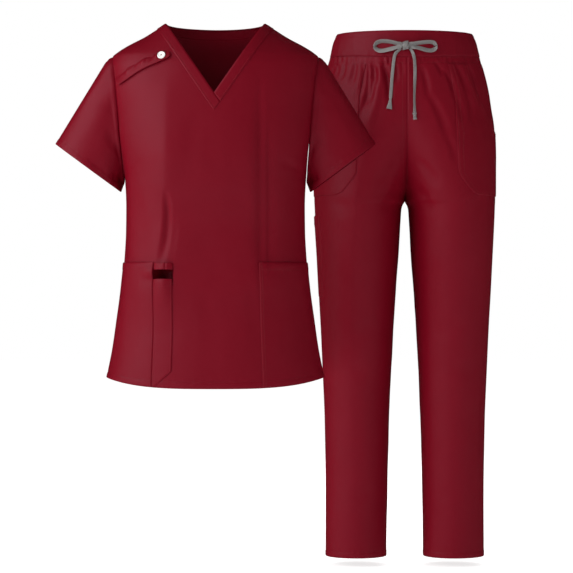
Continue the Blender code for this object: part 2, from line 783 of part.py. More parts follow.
def neckband_front(half):
    """Front strip of the neckband; the viewer's left one runs on over the end of the other."""
    if half < 0:
        lines = [((0, V_FOOT_LEVEL + GAP * 2), (V_LAP_X - SEAM_STEP, V_LAP_LEVEL))]
        levels = [inner for inner, outer in FRONT_UPPER_ROWS]
    else:
        lines = [((-V_LAP_X + SEAM_STEP, V_LAP_LEVEL + 2 * GAP), (-GAP, V_POINT_LEVEL + GAP))]
        levels = [inner for inner, outer in FRONT_UPPER_ROWS if inner + BAND_RISE > V_POINT_LEVEL + 2]
    for level in levels:
        outer_x = -v_edge(level) + SEAM_STEP
        lines.append(((outer_x, level), (outer_x + BAND_SIDE_STEP - SEAM_STEP, level + BAND_RISE)))
    ridge = ((-NECK_CORNER + SEAM_STEP, None), (-BAND_CORNER, None))
    lines.append(ridge)
    points = []
    normals = []
    for (ax, az), (bx, bz) in lines:
        row = []
        for share in BAND_ACROSS:
            x = -half * (ax + (bx - ax) * share)
            level = float(ridge_level(x)) if az is None else az + (bz - az) * share
            point, normal = torso_point(x, level, -1)
            if az is None:
                point[1] = 0
            row.append((point - np.array([0, HALF_GAP, 0]), normal))
        points.append([p for p, n in row])
        normals.append([n for p, n in row])
    sheet = Sheet()
    sheet.add_grid(points, normals)
    return sheet


def neckband_back():
    inner = BACK_SHARES[:NECK_CORNER_COLUMN + 1]
    shares = [s / inner[-1] for s in inner]
    shares = [-s for s in reversed(shares[1:])] + shares
    points = []
    normals = []
    for across in BAND_ACROSS:
        row = []
        for share in shares:
            low_x = share * (NECK_CORNER - SEAM_STEP)
            high_x = share * BAND_CORNER
            low = back_neck_level(low_x, False) + GAP
            high = back_neck_level(high_x, True)
            x = low_x + (high_x - low_x) * across
            level = low + (high - low) * across
            if abs(share) == 1:
                level = float(ridge_level(x))
            point, normal = torso_point(x, level, 1)
            if abs(share) == 1:
                point[1] = 0
            row.append((point + np.array([0, HALF_GAP, 0]), normal))
        points.append([p for p, n in row])
        normals.append([n for p, n in row])
    sheet = Sheet()
    sheet.add_grid(points, normals)
    return sheet


# ---------------------------------------------------------------- what lies on the top's front
def box_outline(left_top, left_foot, right_foot, right_top, top, foot):
    return [(left_top, top), (left_foot, foot), (right_foot, foot), (right_top, top)]


def left_pocket(front):
    foot = TORSO_HEM - HEM_DIP - 5
    outline = box_outline(-230, -230, LEFT_POCKET_EDGE[1], LEFT_POCKET_EDGE[0], POCKET_TOP_LEVEL, foot)
    return front.clipped([outline])


def right_pocket(front):
    foot = TORSO_HEM - HEM_DIP - 5
    outline = box_outline(RIGHT_POCKET_EDGE[0], RIGHT_POCKET_EDGE[1], 230, 230, POCKET_TOP_LEVEL, foot)
    return front.clipped([outline])


def pen_pocket(front):
    """Narrow pocket whose lower inner corner is cut across."""
    foot = TORSO_HEM - HEM_DIP - 5
    left_top = LEFT_POCKET_EDGE[0] + GAP + 0.1
    left_foot = LEFT_POCKET_EDGE[1] + GAP + 0.1
    corner_x = pocket_edge_x(PEN_POCKET_EDGE, PEN_CORNER_LEVEL)
    outline = [(left_top, PEN_TOP_LEVEL), (left_foot, foot), (left_foot + 6, TORSO_HEM - 10),
               (corner_x, PEN_CORNER_LEVEL), (PEN_POCKET_EDGE[0], PEN_TOP_LEVEL)]
    return front.clipped([outline])


def pocket_loop():
    """Cloth loop over the pen pocket, arched off the front between its sewn ends."""
    sheet = Sheet()
    left = LEFT_POCKET_EDGE[0] + 1
    right = PEN_POCKET_EDGE[0]
    points = []
    normals = []
    for level in (LOOP_TOP_LEVEL, (LOOP_TOP_LEVEL + LOOP_FOOT_LEVEL) / 2, LOOP_FOOT_LEVEL):
        row = []
        for share in (0, 0.08, 0.25, 0.5, 0.75, 0.92, 1):
            point, normal = torso_point(left + (right - left) * share, level, -1)
            row.append((point + normal * LOOP_STAND * math.sin(math.pi * share) ** 0.7, normal))
        points.append([p for p, n in row])
        normals.append([n for p, n in row])
    sheet.add_grid(points, normals)
    return sheet


def shoulder_strap():
    sheet = Sheet()
    count = 10
    xs = column(STRAP, STRAP_COLUMNS, "x")
    places = np.linspace(0, 1, len(STRAP))
    middle_x = smooth_curve(places, xs)
    middle_level = smooth_curve(places, column(STRAP, STRAP_COLUMNS, "level"))
    half_width = smooth_curve(places, column(STRAP, STRAP_COLUMNS, "half_width"))
    points = []
    normals = []
    for i in range(count + 1):
        at = i / count
        ahead = (middle_x(min(1, at + 0.01)), middle_level(min(1, at + 0.01)))
        behind = (middle_x(max(0, at - 0.01)), middle_level(max(0, at - 0.01)))
        length = math.hypot(ahead[0] - behind[0], ahead[1] - behind[1])
        across_x = -(ahead[1] - behind[1]) / length
        across_z = (ahead[0] - behind[0]) / length
        row = []
        for share in (-1, -0.33, 0.33, 1):
            reach = share * half_width(at)
            row.append(torso_point(middle_x(at) + across_x * reach, middle_level(at) + across_z * reach, -1))
        points.append([p for p, n in row])
        normals.append([n for p, n in row])
    sheet.add_grid(points, normals)
    return sheet


def strap_button():
    """Round four-hole button, flat underneath with a raised rim."""
    x, level = BUTTON_PLACE
    point, normal = torso_point(x, level, -1)
    base = point + normal * (LIFT + WALL + GAP + 0.15)
    profile = ((0, 0), (BUTTON_RADIUS - 0.6, 0), (BUTTON_RADIUS, 0.6),
               (BUTTON_RADIUS, BUTTON_THICKNESS - 0.6), (BUTTON_RADIUS - 0.6, BUTTON_THICKNESS),
               (BUTTON_RADIUS - 1.8, BUTTON_THICKNESS), (BUTTON_RADIUS - 2.6, BUTTON_THICKNESS - 0.7),
               (0, BUTTON_THICKNESS - 0.7))
    right = unit(np.cross(normal, np.array([0, 0, 1.0])))
    up = np.cross(right, normal)
    sides = 16
    points = []
    rings = []
    for radius, height in profile:
        if radius == 0:
            rings.append([len(points)])
            points.append(base + normal * height)
            continue
        rings.append(list(range(len(points), len(points) + sides)))
        for i in range(sides):
            angle = 2 * math.pi * i / sides
            points.append(base + normal * height + right * radius * math.cos(angle)
                          + up * radius * math.sin(angle))
    faces = []
    for lower, upper in zip(rings, rings[1:]):
        for i in range(sides):
            j = (i + 1) % sides
            if len(lower) == 1:
                faces.append((lower[0], upper[i], upper[j]))
            elif len(upper) == 1:
                faces.append((lower[i], upper[0], lower[j]))
            else:
                faces.append((lower[i], upper[i], upper[j], lower[j]))
    return mesh_object("strap_button", points, faces, "button_white")


# ---------------------------------------------------------------- the trousers' panels
GATHER_LEVELS = (-66, -76, -92, -112, -136)
LOWER_LEVELS = (
    -162, -195, -230, -265, -297, -328, -337, -350, -385, -440, -520, -620, -740, -870, -1013,
)
FRONT_CELLS = 14            # across the lower part of a front leg panel; the gathers have twice that
BACK_CELLS = 9


def leg_row(level, cells, leg, side):
    """Row of (point, normal) across a leg panel; None is the waist seam."""
    row = []
    for c in range(cells + 1):
        share = c / cells
        x = leg_outer(-55) * math.cos(share * math.pi / 2)
        seam = waist_seam_level(x)
        middle_seam = WAIST_SEAM_SIDE - WAIST_SEAM_DIP
        if level is None:
            at = seam - HALF_GAP
        else:
            at = level + (seam - middle_seam) * (1 - ramp(-level, 60, 130))
        point, normal = leg_surface(share, at, leg, side)
        if level is None:
            normal = unit(normal * np.array([1, 1, 0]))
        point = point + np.array([0, side * HALF_GAP, 0])
        if at > CROTCH_LEVEL + 0.5 and share == 1:
            point[0] = TROUSERS_X + leg * HALF_GAP
        row.append((point, normal))
    return row


def leg_sheet(leg, side, cells):
    sheet = Sheet()
    fine = [leg_row(None, 2 * cells, leg, side)]
    fine += [leg_row(level, 2 * cells, leg, side) for level in GATHER_LEVELS]
    coarse = [leg_row(level, cells, leg, side) for level in LOWER_LEVELS]
    sheet.add_grid([[p for p, n in row] for row in fine], [[n for p, n in row] for row in fine])
    sheet.add_step(fine[-1], coarse[0])
    sheet.add_grid([[p for p, n in row] for row in coarse], [[n for p, n in row] for row in coarse])
    return sheet


def waistband():
    sheet = Sheet()
    sides = 48
    points = []
    normals = []
    for rise in (0, 0.5, 1):
        row = []
        for i in range(sides):
            angle = 2 * math.pi * i / sides
            low = waist_seam_level(leg_outer(-55) * math.cos(angle)) + HALF_GAP
            level = low + (WAIST_TOP_LEVEL - low) * rise
            depth = leg_front(level) if math.sin(angle) > 0 else leg_back(level)
            point = np.array([leg_outer(level) * math.cos(angle), -depth * math.sin(angle), level])
            normal = np.array([math.cos(angle) / leg_outer(level), -math.sin(angle) / depth, 0])
            row.append((point + np.array([TROUSERS_X, TROUSERS_Y, 0]), unit(normal)))
        points.append([p for p, n in row])
        normals.append([n for p, n in row])
    sheet.add_grid(points, normals, closed=True)
    return sheet


def hip_pocket(panel, leg):
    outlines = []
    for outline in HIP_POCKET_OUTLINES:
        placed = [(TROUSERS_X + leg * x, level) for x, level in outline]
        outlines.append(placed if leg > 0 else placed[::-1])
    return panel.clipped(outlines)


def cargo_pocket():
    """Patch round the outer side of the viewer's left leg, over its seam."""
    sheet = Sheet()
    across = 10
    down = 5
    points = []
    normals = []
    for r in range(down + 1):
        level = CARGO_TOP_LEVEL + (CARGO_FOOT_LEVEL - CARGO_TOP_LEVEL) * r / down
        row = []
        for c in range(across + 1):
            angle = CARGO_FRONT_ANGLE - (CARGO_FRONT_ANGLE + CARGO_BACK_ANGLE) * c / across
            side = -1 if angle >= 0 else 1
            row.append(leg_surface(abs(angle) / inner_angle(level), level, -1, side))
        points.append([p for p, n in row])
        normals.append([n for p, n in row])
    sheet.add_grid(points, normals)
    return sheet


# ---------------------------------------------------------------- drawstring
def route_points(route):
    """Places of a route's points in front of the cloth."""
    points = []
    for x, level, lift in route:
        depth = trousers_front_y(x, level) - lift - CORD_TUBE_RADIUS
        points.append(np.array([TROUSERS_X + x, depth, level]))
    return points


def smooth_route(points, spacing):
    """Evenly spaced points on a smooth curve through the route's points."""
    dense = []
    for i in range(len(points) - 1):
        before = points[max(i - 1, 0)]
        a, b = points[i], points[i + 1]
        after = points[min(i + 2, len(points) - 1)]
        for step in range(8):
            t = step / 8
            dense.append(0.5 * (2 * a + (b - before) * t + (2 * before - 5 * a + 4 * b - after) * t ** 2
                                + (3 * a - before - 3 * b + after) * t ** 3))
    dense.append(points[-1])
    lengths = np.cumsum([0] + [np.linalg.norm(b - a) for a, b in zip(dense, dense[1:])])
    count = max(2, round(lengths[-1] / spacing))
    wanted = np.linspace(0, lengths[-1], count + 1)
    return [np.array([np.interp(w, lengths, [p[axis] for p in dense]) for axis in range(3)]) for w in wanted]


def cord_tube(name, route):
    points = smooth_route(route_points(route), 2.2 * CORD_TUBE_RADIUS * 2)
    curve = bpy.data.curves.new(name, "CURVE")
    curve.dimensions = "3D"
    curve.bevel_depth = CORD_TUBE_RADIUS * MM
    curve.bevel_resolution = 2
    curve.use_fill_caps = True
    spline = curve.splines.new("POLY")
    spline.points.add(len(points) - 1)
    for place, point in zip(spline.points, points):
        place.co = (*(point * MM), 1)
    obj = bpy.data.objects.new(name, curve)
    bpy.context.scene.collection.objects.link(obj)
    add_material(obj, "cord_grey")
    return obj


def knot(name, place, radii, lift):
    """Rounded lump of tied cord that rests against the cloth."""
    x, level = place
    middle = np.array([TROUSERS_X + x, trousers_front_y(x, level) - lift - radii[1], level])
    around = 12
    rings = 6
    points = [middle + np.array([0, 0, radii[2]])]
    for r in range(1, rings):
        tilt = math.pi * r / rings
        for i in range(around):
            angle = 2 * math.pi * i / around
            points.append(middle + np.array([radii[0] * math.sin(tilt) * math.cos(angle),
                                             radii[1] * math.sin(tilt) * math.sin(angle),
                                             radii[2] * math.cos(tilt)]))
    points.append(middle - np.array([0, 0, radii[2]]))
    faces = []
    for i in range(around):
        j = (i + 1) % around
        faces.append((0, 1 + i, 1 + j))
        for r in range(rings - 2):
            top = 1 + r * around
            faces.append((top + i, top + around + i, top + around + j, top + j))
        last = 1 + (rings - 2) * around
        faces.append((last + i, len(points) - 1, last + j))
    return mesh_object(name, points, faces, "cord_grey")


# ---------------------------------------------------------------- the whole set
def build_top():
    front = front_sheet()
    back = back_sheet()
    sleeves = {half: sleeve(half, front, back) for half in (-1, 1)}
    cloth_wall("top_front", front)
    cloth_wall("top_back", back)
    cloth_wall("sleeve_left", sleeves[-1])
    cloth_wall("sleeve_right", sleeves[1])
    cloth_wall("neckband_left", neckband_front(-1))
    cloth_wall("neckband_right", neckband_front(1))
    cloth_wall("neckband_back", neckband_back())
    cloth_wall("top_pocket_left", left_pocket(front), GAP, GAP + WALL)
    cloth_wall("top_pocket_right", right_pocket(front), GAP, GAP + WALL)
    cloth_wall("pen_pocket", pen_pocket(front), GAP, GAP + WALL)
    cloth_wall("pocket_loop", pocket_loop(), LIFT, LIFT + WALL)
    cloth_wall("shoulder_strap", shoulder_strap(), LIFT + 0.2, LIFT + 0.2 + WALL)
    strap_button()


def build_trousers():
    cloth_wall("waistband", waistband(), -2.0, 0.5, "rib_cloth")
    for leg, hand in ((-1, "left"), (1, "right")):
        front = leg_sheet(leg, -1, FRONT_CELLS)
        cloth_wall("leg_front_" + hand, front)
        cloth_wall("leg_back_" + hand, leg_sheet(leg, 1, BACK_CELLS))
        cloth_wall("hip_pocket_" + hand, hip_pocket(front, leg), GAP, GAP + WALL)
    cloth_wall("cargo_pocket", cargo_pocket(), LIFT, LIFT + WALL)


def build_drawstring():
    knot("bow_knot", BOW_KNOT_PLACE, BOW_KNOT_RADII, 0.9)
    cord_tube("bow_loop_left", LOOP_LEFT_ROUTE)
    cord_tube("bow_loop_right", LOOP_RIGHT_ROUTE)
    cord_tube("cord_tail_left", TAIL_LEFT_ROUTE)
    cord_tube("cord_tail_right", TAIL_RIGHT_ROUTE)
    knot("end_knot", END_KNOT_PLACE, END_KNOT_RADII, 1.2)
    cord_tube("cord_end_right", END_STUB_ROUTE)


def main():
    for obj in list(bpy.data.objects):
        bpy.data.objects.remove(obj, do_unlink=True)
    build_top()
    build_trousers()
    build_drawstring()


main()
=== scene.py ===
"""Visual model of a set of medical scrubs: a V-neck top in front of drawstring trousers.

Every cloth piece is a thin shell on the form of its solid, with finer folds, hems and stitches.
Tables and functions are in millimetres, in the solids' own frame; meshes are made in metres.
"""
import math

import bpy
import numpy as np
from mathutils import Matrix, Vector


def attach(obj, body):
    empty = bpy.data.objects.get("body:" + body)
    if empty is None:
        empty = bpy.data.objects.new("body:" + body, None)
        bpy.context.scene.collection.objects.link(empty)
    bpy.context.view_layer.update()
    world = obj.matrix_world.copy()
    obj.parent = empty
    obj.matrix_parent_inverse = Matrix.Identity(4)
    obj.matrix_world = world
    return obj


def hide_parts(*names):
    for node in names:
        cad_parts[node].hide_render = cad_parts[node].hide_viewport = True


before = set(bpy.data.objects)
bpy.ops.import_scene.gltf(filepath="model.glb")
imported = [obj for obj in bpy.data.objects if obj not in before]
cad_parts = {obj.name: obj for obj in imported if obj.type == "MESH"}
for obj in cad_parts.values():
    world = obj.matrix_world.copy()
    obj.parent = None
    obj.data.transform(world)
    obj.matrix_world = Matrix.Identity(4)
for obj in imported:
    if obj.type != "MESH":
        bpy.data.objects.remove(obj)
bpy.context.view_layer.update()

MM = 0.001
scene = bpy.context.scene
pi = math.pi

# ---------------------------------------------------------------- camera
CAMERA_PLACE = (0.1323, -4.795, -0.4932)
SENSOR = 36.0
FOCAL_PIXELS = 2567
IMAGE_PIXELS = 573

camera_data = bpy.data.cameras.new("camera")
camera_data.sensor_width = SENSOR
camera_data.lens = FOCAL_PIXELS / IMAGE_PIXELS * SENSOR
camera_data.clip_end = 100
camera = bpy.data.objects.new("camera", camera_data)
camera.location = CAMERA_PLACE
camera.rotation_euler = (pi / 2, 0, 0)
scene.collection.objects.link(camera)
scene.camera = camera
scene.view_settings.view_transform = "Standard"


# ---------------------------------------------------------------- curves through tables
def smooth_curve(keys, values):
    """Return a function that runs smoothly through the values, with no overshoot."""
    order = np.argsort(keys)
    key = np.array(keys, float)[order]
    value = np.array(values, float)[order]
    step = np.diff(key)
    rise = np.diff(value) / step
    slope = np.zeros(len(key))
    slope[0] = rise[0]
    slope[-1] = rise[-1]
    for i in range(1, len(key) - 1):
        if rise[i - 1] * rise[i] > 0:
            before = 2 * step[i] + step[i - 1]
            after = step[i] + 2 * step[i - 1]
            slope[i] = (before + after) / (before / rise[i - 1] + after / rise[i])

    def value_at(at):
        at = np.clip(at, key[0], key[-1])
        i = np.clip(np.searchsorted(key, at) - 1, 0, len(key) - 2)
        t = (at - key[i]) / step[i]
        start = (1 + 2 * t) * (1 - t) ** 2 * value[i] + t * (1 - t) ** 2 * step[i] * slope[i]
        end = t * t * (3 - 2 * t) * value[i + 1] + t * t * (t - 1) * step[i] * slope[i + 1]
        return start + end

    return value_at


def table_curves(table):
    """One smooth curve for each column after the first, by the first."""
    columns = list(zip(*table))
    return [smooth_curve(columns[0], column) for column in columns[1:]]


def ramp(value, start, end):
    """Rise smoothly from 0 at start to 1 at end."""
    t = np.clip((value - start) / (end - start), 0, 1)
    return t * t * (3 - 2 * t)


def bell(distance, half_width):
    t = np.clip(np.abs(distance) / half_width, 0, 1)
    return 0.5 + 0.5 * np.cos(pi * t)


def unit(vectors):
    return vectors / np.maximum(np.linalg.norm(vectors, axis=-1, keepdims=True), 1e-9)


def distances(points):
    """Distance from the first point along a line to each of its points."""
    return np.concatenate([[0], np.cumsum(np.linalg.norm(np.diff(points, axis=0), axis=1))])


def points_at(wanted, along, points):
    """Points at the wanted distances on a line whose points lie at the distances along."""
    return np.stack([np.interp(wanted, along, points[:, i]) for i in range(points.shape[1])], -1)


def mesh_grid(rows, columns):
    return np.meshgrid(rows, columns, indexing="ij")


def ripples(u, v, size, seed):
    """Smooth uneven waves about as long as size, mostly between -1 and 1."""
    draw = np.random.default_rng(seed)
    total = 0
    for _ in range(7):
        turn = draw.uniform(0, 2 * pi)
        pitch = 2 * pi / (size * draw.uniform(0.7, 1.6))
        total = total + np.sin((u * math.cos(turn) + v * math.sin(turn)) * pitch + draw.uniform(0, 2 * pi))
    return total / 2.6


def creases(x, z, table, widen=1.0):
    """Height of creases: each has x and z of both ends, depth and half width; a ridge's depth is below 0."""
    height = 0
    for x0, z0, x1, z1, depth, half_width in table:
        length = math.hypot(x1 - x0, z1 - z0)
        ux = (x1 - x0) / length
        uz = (z1 - z0) / length
        along = ((x - x0) * ux + (z - z0) * uz) / length
        off = (x - x0) * uz - (z - z0) * ux
        bow = off + 0.05 * length * np.sin(pi * np.clip(along, 0, 1))
        fade = ramp(along, -0.08, 0.3) * (1 - ramp(along, 0.6, 1.1))
        height = height - depth * fade * bell(bow, widen * half_width * (0.75 + 0.35 * np.clip(along, 0, 1)))
    return height


# ---------------------------------------------------------------- the top's form
SQUARE = 2.3
HEM_DIP = 18
TOP_HEM = -662
POCKET_TOP = -448.6
UNDERARM = -297
SHOULDER = -66
SHOULDER_HALF = 193         # half the width between the shoulder seams' outer ends
UNDERARM_HALF = 169.5
HEM_HALF = 202.5
NECK_CORNER = 108
V_FOOT = -171
BAND_WIDTH = 18
BAND_CORNER = 92
BACK_NECK = -7
SEAM = 0.15                 # half the gap between two pieces
LAP = 0.2                   # each panel runs this far over a side seam
TORSO = (                   # level, half width, front depth, back depth
    (1, 66, 55, 62), (-1, 83, 59, 66), (-3, 92.5, 62, 69), (-12, 107.5, 68, 75), (-29, 134.5, 78, 84),
    (-46, 166, 88, 93), (-57, 183, 95, 98), (-66, 193, 100, 101), (-84, 197.5, 107, 104),
    (-117, 197, 113, 107), (-165, 191, 118, 109), (-210, 185.5, 122, 109), (-255, 177, 124, 107),
    (-297, 169.5, 122, 103), (-345, 167.5, 116, 98), (-390, 168, 112, 96), (-444, 171, 113, 99),
    (-500, 176.5, 117, 107), (-555, 184, 121, 117), (-610, 192, 125, 125), (-662, 202.5, 128, 130),
    (-700, 210, 130, 132),
)
ARMHOLE = (
    (-66, 193), (-76, 191), (-90, 188.8), (-117, 184.8), (-163, 180.2), (-210, 176.2), (-255, 172.3),
    (-297, 169.5),
)
torso_width, torso_front, torso_back = table_curves(TORSO)
armhole_width = table_curves(ARMHOLE)[0]
RIDGE_LEVELS = np.linspace(1, SHOULDER, 600)
RIDGE_WIDTHS = torso_width(RIDGE_LEVELS)


def ridge_level(x):
    return np.interp(np.abs(x), RIDGE_WIDTHS, RIDGE_LEVELS)


NECK_LEVEL = float(ridge_level(NECK_CORNER))
V_SLOPE = NECK_CORNER / (NECK_LEVEL - V_FOOT)

# Long soft folds of the front: top x, top z, foot x, foot z, height, reach to the left, to the right.
FRONT_FOLDS = (
    (-86, -100, -90, -560, 12.0, 62, 46),
    (70, -118, 72, -540, 4.2, 70, 26),
    (84.7, -112, 84.7, -470, -4.6, 9, 11),
    (93.5, -120, 93.5, -470, 1.4, 5, 5),
    (101, -196, 101, -470, -3.6, 8, 9),
)
FRONT_CREASES = (
    (-84, -318, -96, -458, 6.0, 11),
    (-70, -360, -88, -455, 1.4, 14),
    (-150, -300, -128, -440, 1.2, 26),
    (150, -300, 128, -430, 1.2, 24),
    (-168, -282, -120, -262, 1.3, 15),
    (168, -282, 118, -258, 1.4, 15),
    (-40, -190, -60, -330, 0.8, 30),
    (30, -230, 44, -420, 0.8, 34),
    (-20, -500, -6, -640, 0.9, 30),
    (60, -470, 70, -640, 1.0, 22),
    (-150, -470, -165, -640, 1.2, 26),
    (140, -470, 160, -640, 1.2, 26),
)
BACK_CREASES = (
    (-92, -150, -80, -520, 4.0, 26),
    (92, -160, 84, -530, 4.0, 26),
    (0, -230, 6, -490, 2.5, 30),
    (-165, -280, -70, -240, 1.6, 20),
    (166, -282, 60, -230, 1.8, 22),
    (-150, -400, -40, -440, 1.2, 26),
    (140, -380, 30, -430, 1.1, 24),
    (-60, -540, -76, -650, 1.4, 26),
    (64, -530, 82, -655, 1.5, 28),
    (-150, -90, -90, -60, 0.9, 16),
    (150, -95, 96, -62, 0.9, 16),
)


def front_height(x, z):
    height = creases(x, z, FRONT_CREASES)
    for top_x, top_z, foot_x, foot_z, tall, left, right in FRONT_FOLDS:
        along = (top_z - z) / (top_z - foot_z)
        off = x - (top_x + (foot_x - top_x) * along)
        soft = min(6.5, 0.4 * min(left, right))
        rounded = np.sqrt(off ** 2 + soft ** 2) - soft
        reach = np.where(off < 0, left, right)
        fade = ramp(along, -0.1, 0.35) * (1 - ramp(along, 0.85, 1.05))
        height = height + tall * fade * np.exp(-rounded / reach)
    return height + 0.35 * ripples(x, z, 130, 3) + 0.12 * ripples(x, z, 38, 4)


def back_height(x, z):
    return creases(x, z, BACK_CREASES) + 0.4 * ripples(x, z, 120, 5) + 0.12 * ripples(x, z, 36, 6)


def torso(x, z, side, extra=0):
    """Points of the front (side -1) or the back (1), moved out by extra."""
    curve = torso_front if side < 0 else torso_back
    width = torso_width(z)
    depth = curve(z)
    across = np.clip(np.abs(x) / width, 0, 1)
    outward = (1 - across ** SQUARE) ** (1 / SQUARE)
    widening = (torso_width(z + 0.5) - torso_width(z - 0.5)) / width
    deepening = (curve(z + 0.5) - curve(z - 0.5)) / depth
    normal = unit(np.stack([
        across ** (SQUARE - 1) / width * np.sign(x),
        side * outward ** (SQUARE - 1) / depth,
        -(across ** SQUARE * widening + outward ** SQUARE * deepening),
    ], -1))
    height = (front_height if side < 0 else back_height)(x, z)
    edge = ramp(across, 1, 0.9)                     # the form is kept at the sides
    point = np.stack([x, side * (depth * outward), z], -1)
    return point + normal * (height * edge + extra)[..., None]


def side_width(z):
    return np.where(z > UNDERARM, armhole_width(z), torso_width(z))


def hem_level(x, z):
    share = np.clip((z - POCKET_TOP) / (TOP_HEM - POCKET_TOP), 0, None)
    curve = 1 - np.clip(np.abs(x) / torso_width(TOP_HEM), 0, 1) ** 3.3
    return z - HEM_DIP * curve * share ** 1.5


def v_edge(z):
    return np.clip((z - V_FOOT) * V_SLOPE, 0, None)


outer_level = smooth_curve(
    (-700, -171, -150, -126, -102, -78, -57, -40, -27, -18.5, NECK_LEVEL),
    (-700, -171, -153, -137, -121, -106, -93, -83, -75.5, -70, SHOULDER),
)


HEM_RISES = (0, 0.6, 1.6, 4, 8.6, 10, 11, 12, 13.6, 16)    # rows of points that a hem's form needs
HEM_LINE = 11.0             # a hem's stitches lie this far from its edge


def hem_form(d, along, depth=12.0, seed=1):
    """Height of a turned-up hem at d from the edge: doubled cloth, a sewn line and a rolled edge."""
    line = depth - 1.0
    pucker = ripples(along, d * 0.2, 11, seed)
    doubled = 0.55 * (1 - ramp(d, depth - 0.6, depth + 1.4))
    sewn = -0.55 * bell(d - line, 2.2)
    return doubled + sewn + 0.22 * pucker * bell(d - line, 9) - 0.8 * (1 - ramp(d, 0, 1.4))


def seam_edge(d, depth=0.9, reach=2.6):
    """An edge that turns in at a seam, d from it."""
    return -depth * (1 - ramp(d, 0, reach))


def front_at(half, share, t, extra=0):
    """Points of the top's front: share from the middle or neckline to the side; t is the level at share 0."""
    outer = outer_level(t)
    flat = t + share * (outer - t)
    top_x = NECK_CORNER + share * (SHOULDER_HALF - NECK_CORNER)
    straight = NECK_LEVEL + share * (SHOULDER - NECK_LEVEL)
    bulge = (ridge_level(top_x) - straight) * ramp(t, V_FOOT, NECK_LEVEL)
    level = hem_level(share * torso_width(TOP_HEM), flat) + bulge
    edge_x = side_width(np.where(t > V_FOOT, outer, level))
    x = v_edge(t) + share * (edge_x - v_edge(t))
    height = hem_form(t - TOP_HEM, x * half, seed=1 + (half > 0))
    height = height + seam_edge(edge_x - x) + extra
    point = torso(half * x, level, -1, height)
    return point + np.array([0, LAP, 0])


def band_level(x, upper):
    corner_x = BAND_CORNER if upper else NECK_CORNER
    corner = ridge_level(corner_x)
    middle = BACK_NECK if upper else BACK_NECK - BAND_WIDTH
    return middle + (corner - middle) * np.clip(np.abs(x) / corner_x, 0, 1) ** (2 if upper else 2.6)


def back_at(share, t, extra=0):
    """Points of the top's back: share from -1 to 1."""
    width = side_width(t)
    x = share * width
    top_x = share * SHOULDER_HALF
    top = np.where(np.abs(top_x) >= NECK_CORNER, ridge_level(top_x), band_level(top_x, False))
    bottom = hem_level(share * torso_width(TOP_HEM), np.full_like(x, TOP_HEM))
    level = bottom + (t - TOP_HEM) / (SHOULDER - TOP_HEM) * (top - bottom)
    height = hem_form(t - TOP_HEM, x, seed=3) + seam_edge(width - np.abs(x)) + extra
    return torso(x, level, 1, height) - np.array([0, LAP, 0])


# ---------------------------------------------------------------- shells
def normals_of(points, quads):
    a, b, c, d = (points[quads[:, i]] for i in range(4))
    face = np.cross(c - a, d - b)
    total = np.zeros_like(points)
    for i in range(4):
        np.add.at(total, quads[:, i], face)
    return unit(total), face


def grid_quads(rows, columns, closed=False):
    r = np.arange(rows - 1)[:, None]
    c = np.arange(columns if closed else columns - 1)[None, :]
    d = (c + 1) % columns
    return np.stack(np.broadcast_arrays(r * columns + c, r * columns + d, (r + 1) * columns + d,
                                        (r + 1) * columns + c), -1).reshape(-1, 4)


def grid_places(grid):
    """Flat coordinates on the cloth: distance across from the first column and down the rows."""
    across = np.linalg.norm(np.diff(grid, axis=1), axis=-1)
    u = np.concatenate([np.zeros((grid.shape[0], 1)), np.cumsum(across, 1)], 1)
    down = np.linalg.norm(np.diff(grid, axis=0), axis=-1).mean(1)
    v = np.concatenate([[0], np.cumsum(down)])[:, None] + np.zeros_like(u)
    return np.stack([u, v], -1)


SHARP_ANGLE = math.radians(50)


def make_object(name, points, faces, material, places=None):
    mesh = bpy.data.meshes.new(name)
    mesh.from_pydata((np.asarray(points) * MM).tolist(), [], [tuple(f) for f in faces])
    mesh.update()
    if places is not None:
        layer = mesh.attributes.new("cloth", "FLOAT_VECTOR", "POINT")
        flat = np.zeros((len(points), 3), np.float32)
        flat[:, :2] = places * MM
        layer.data.foreach_set("vector", flat.ravel())
    mesh.shade_smooth()
    mesh.set_sharp_from_angle(angle=SHARP_ANGLE)
    obj = bpy.data.objects.new(name, mesh)
    scene.collection.objects.link(obj)
    mesh.materials.append(material)
    return obj


def shell(name, grids, toward, thickness, material, closed=False, weave=grid_places):
    """Thin closed wall under grids of points that show; toward(points) gives each face's outside."""
    points = np.concatenate([g.reshape(-1, 3) for g in grids])
    places = np.concatenate([weave(g).reshape(-1, 2) for g in grids])
    quads = []
    start = 0
    for g in grids:
        part = grid_quads(g.shape[0], g.shape[1], closed)
        flat = g.reshape(-1, 3)
        if (normals_of(flat, part)[1] * toward(flat[part].mean(1))).sum() < 0:
            part = part[:, ::-1]
        quads.append(part + start)
        start += len(flat)
    quads = np.concatenate(quads)
    _, first, back = np.unique(np.round(points, 2) + 0.0, axis=0, return_index=True, return_inverse=True)
    points = points[first]
    places = places[first]
    quads = back.reshape(-1)[quads]
    normal, _ = normals_of(points, quads)
    count = len(points)
    edges = {}
    for i in range(4):
        for a, b in zip(quads[:, i].tolist(), quads[:, (i + 1) % 4].tolist()):
            if a != b:
                edges[(a, b)] = True
    rim = np.array([(b, a) for a, b in edges if (b, a) not in edges])
    inner = points - normal * thickness
    rim_faces = np.stack([rim[:, 0], rim[:, 1], rim[:, 1] + count, rim[:, 0] + count], 1)
    faces = np.concatenate([quads, quads[:, ::-1] + count, rim_faces])
    cleaned = []
    for f in faces.tolist():
        kept = [v for i, v in enumerate(f) if v != f[i - 1]]
        if len(kept) >= 3:
            cleaned.append(kept)
    obj = make_object(name, np.concatenate([points, inner]), cleaned, material,
                      np.concatenate([places, places]))
    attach(obj, "root")
    return obj


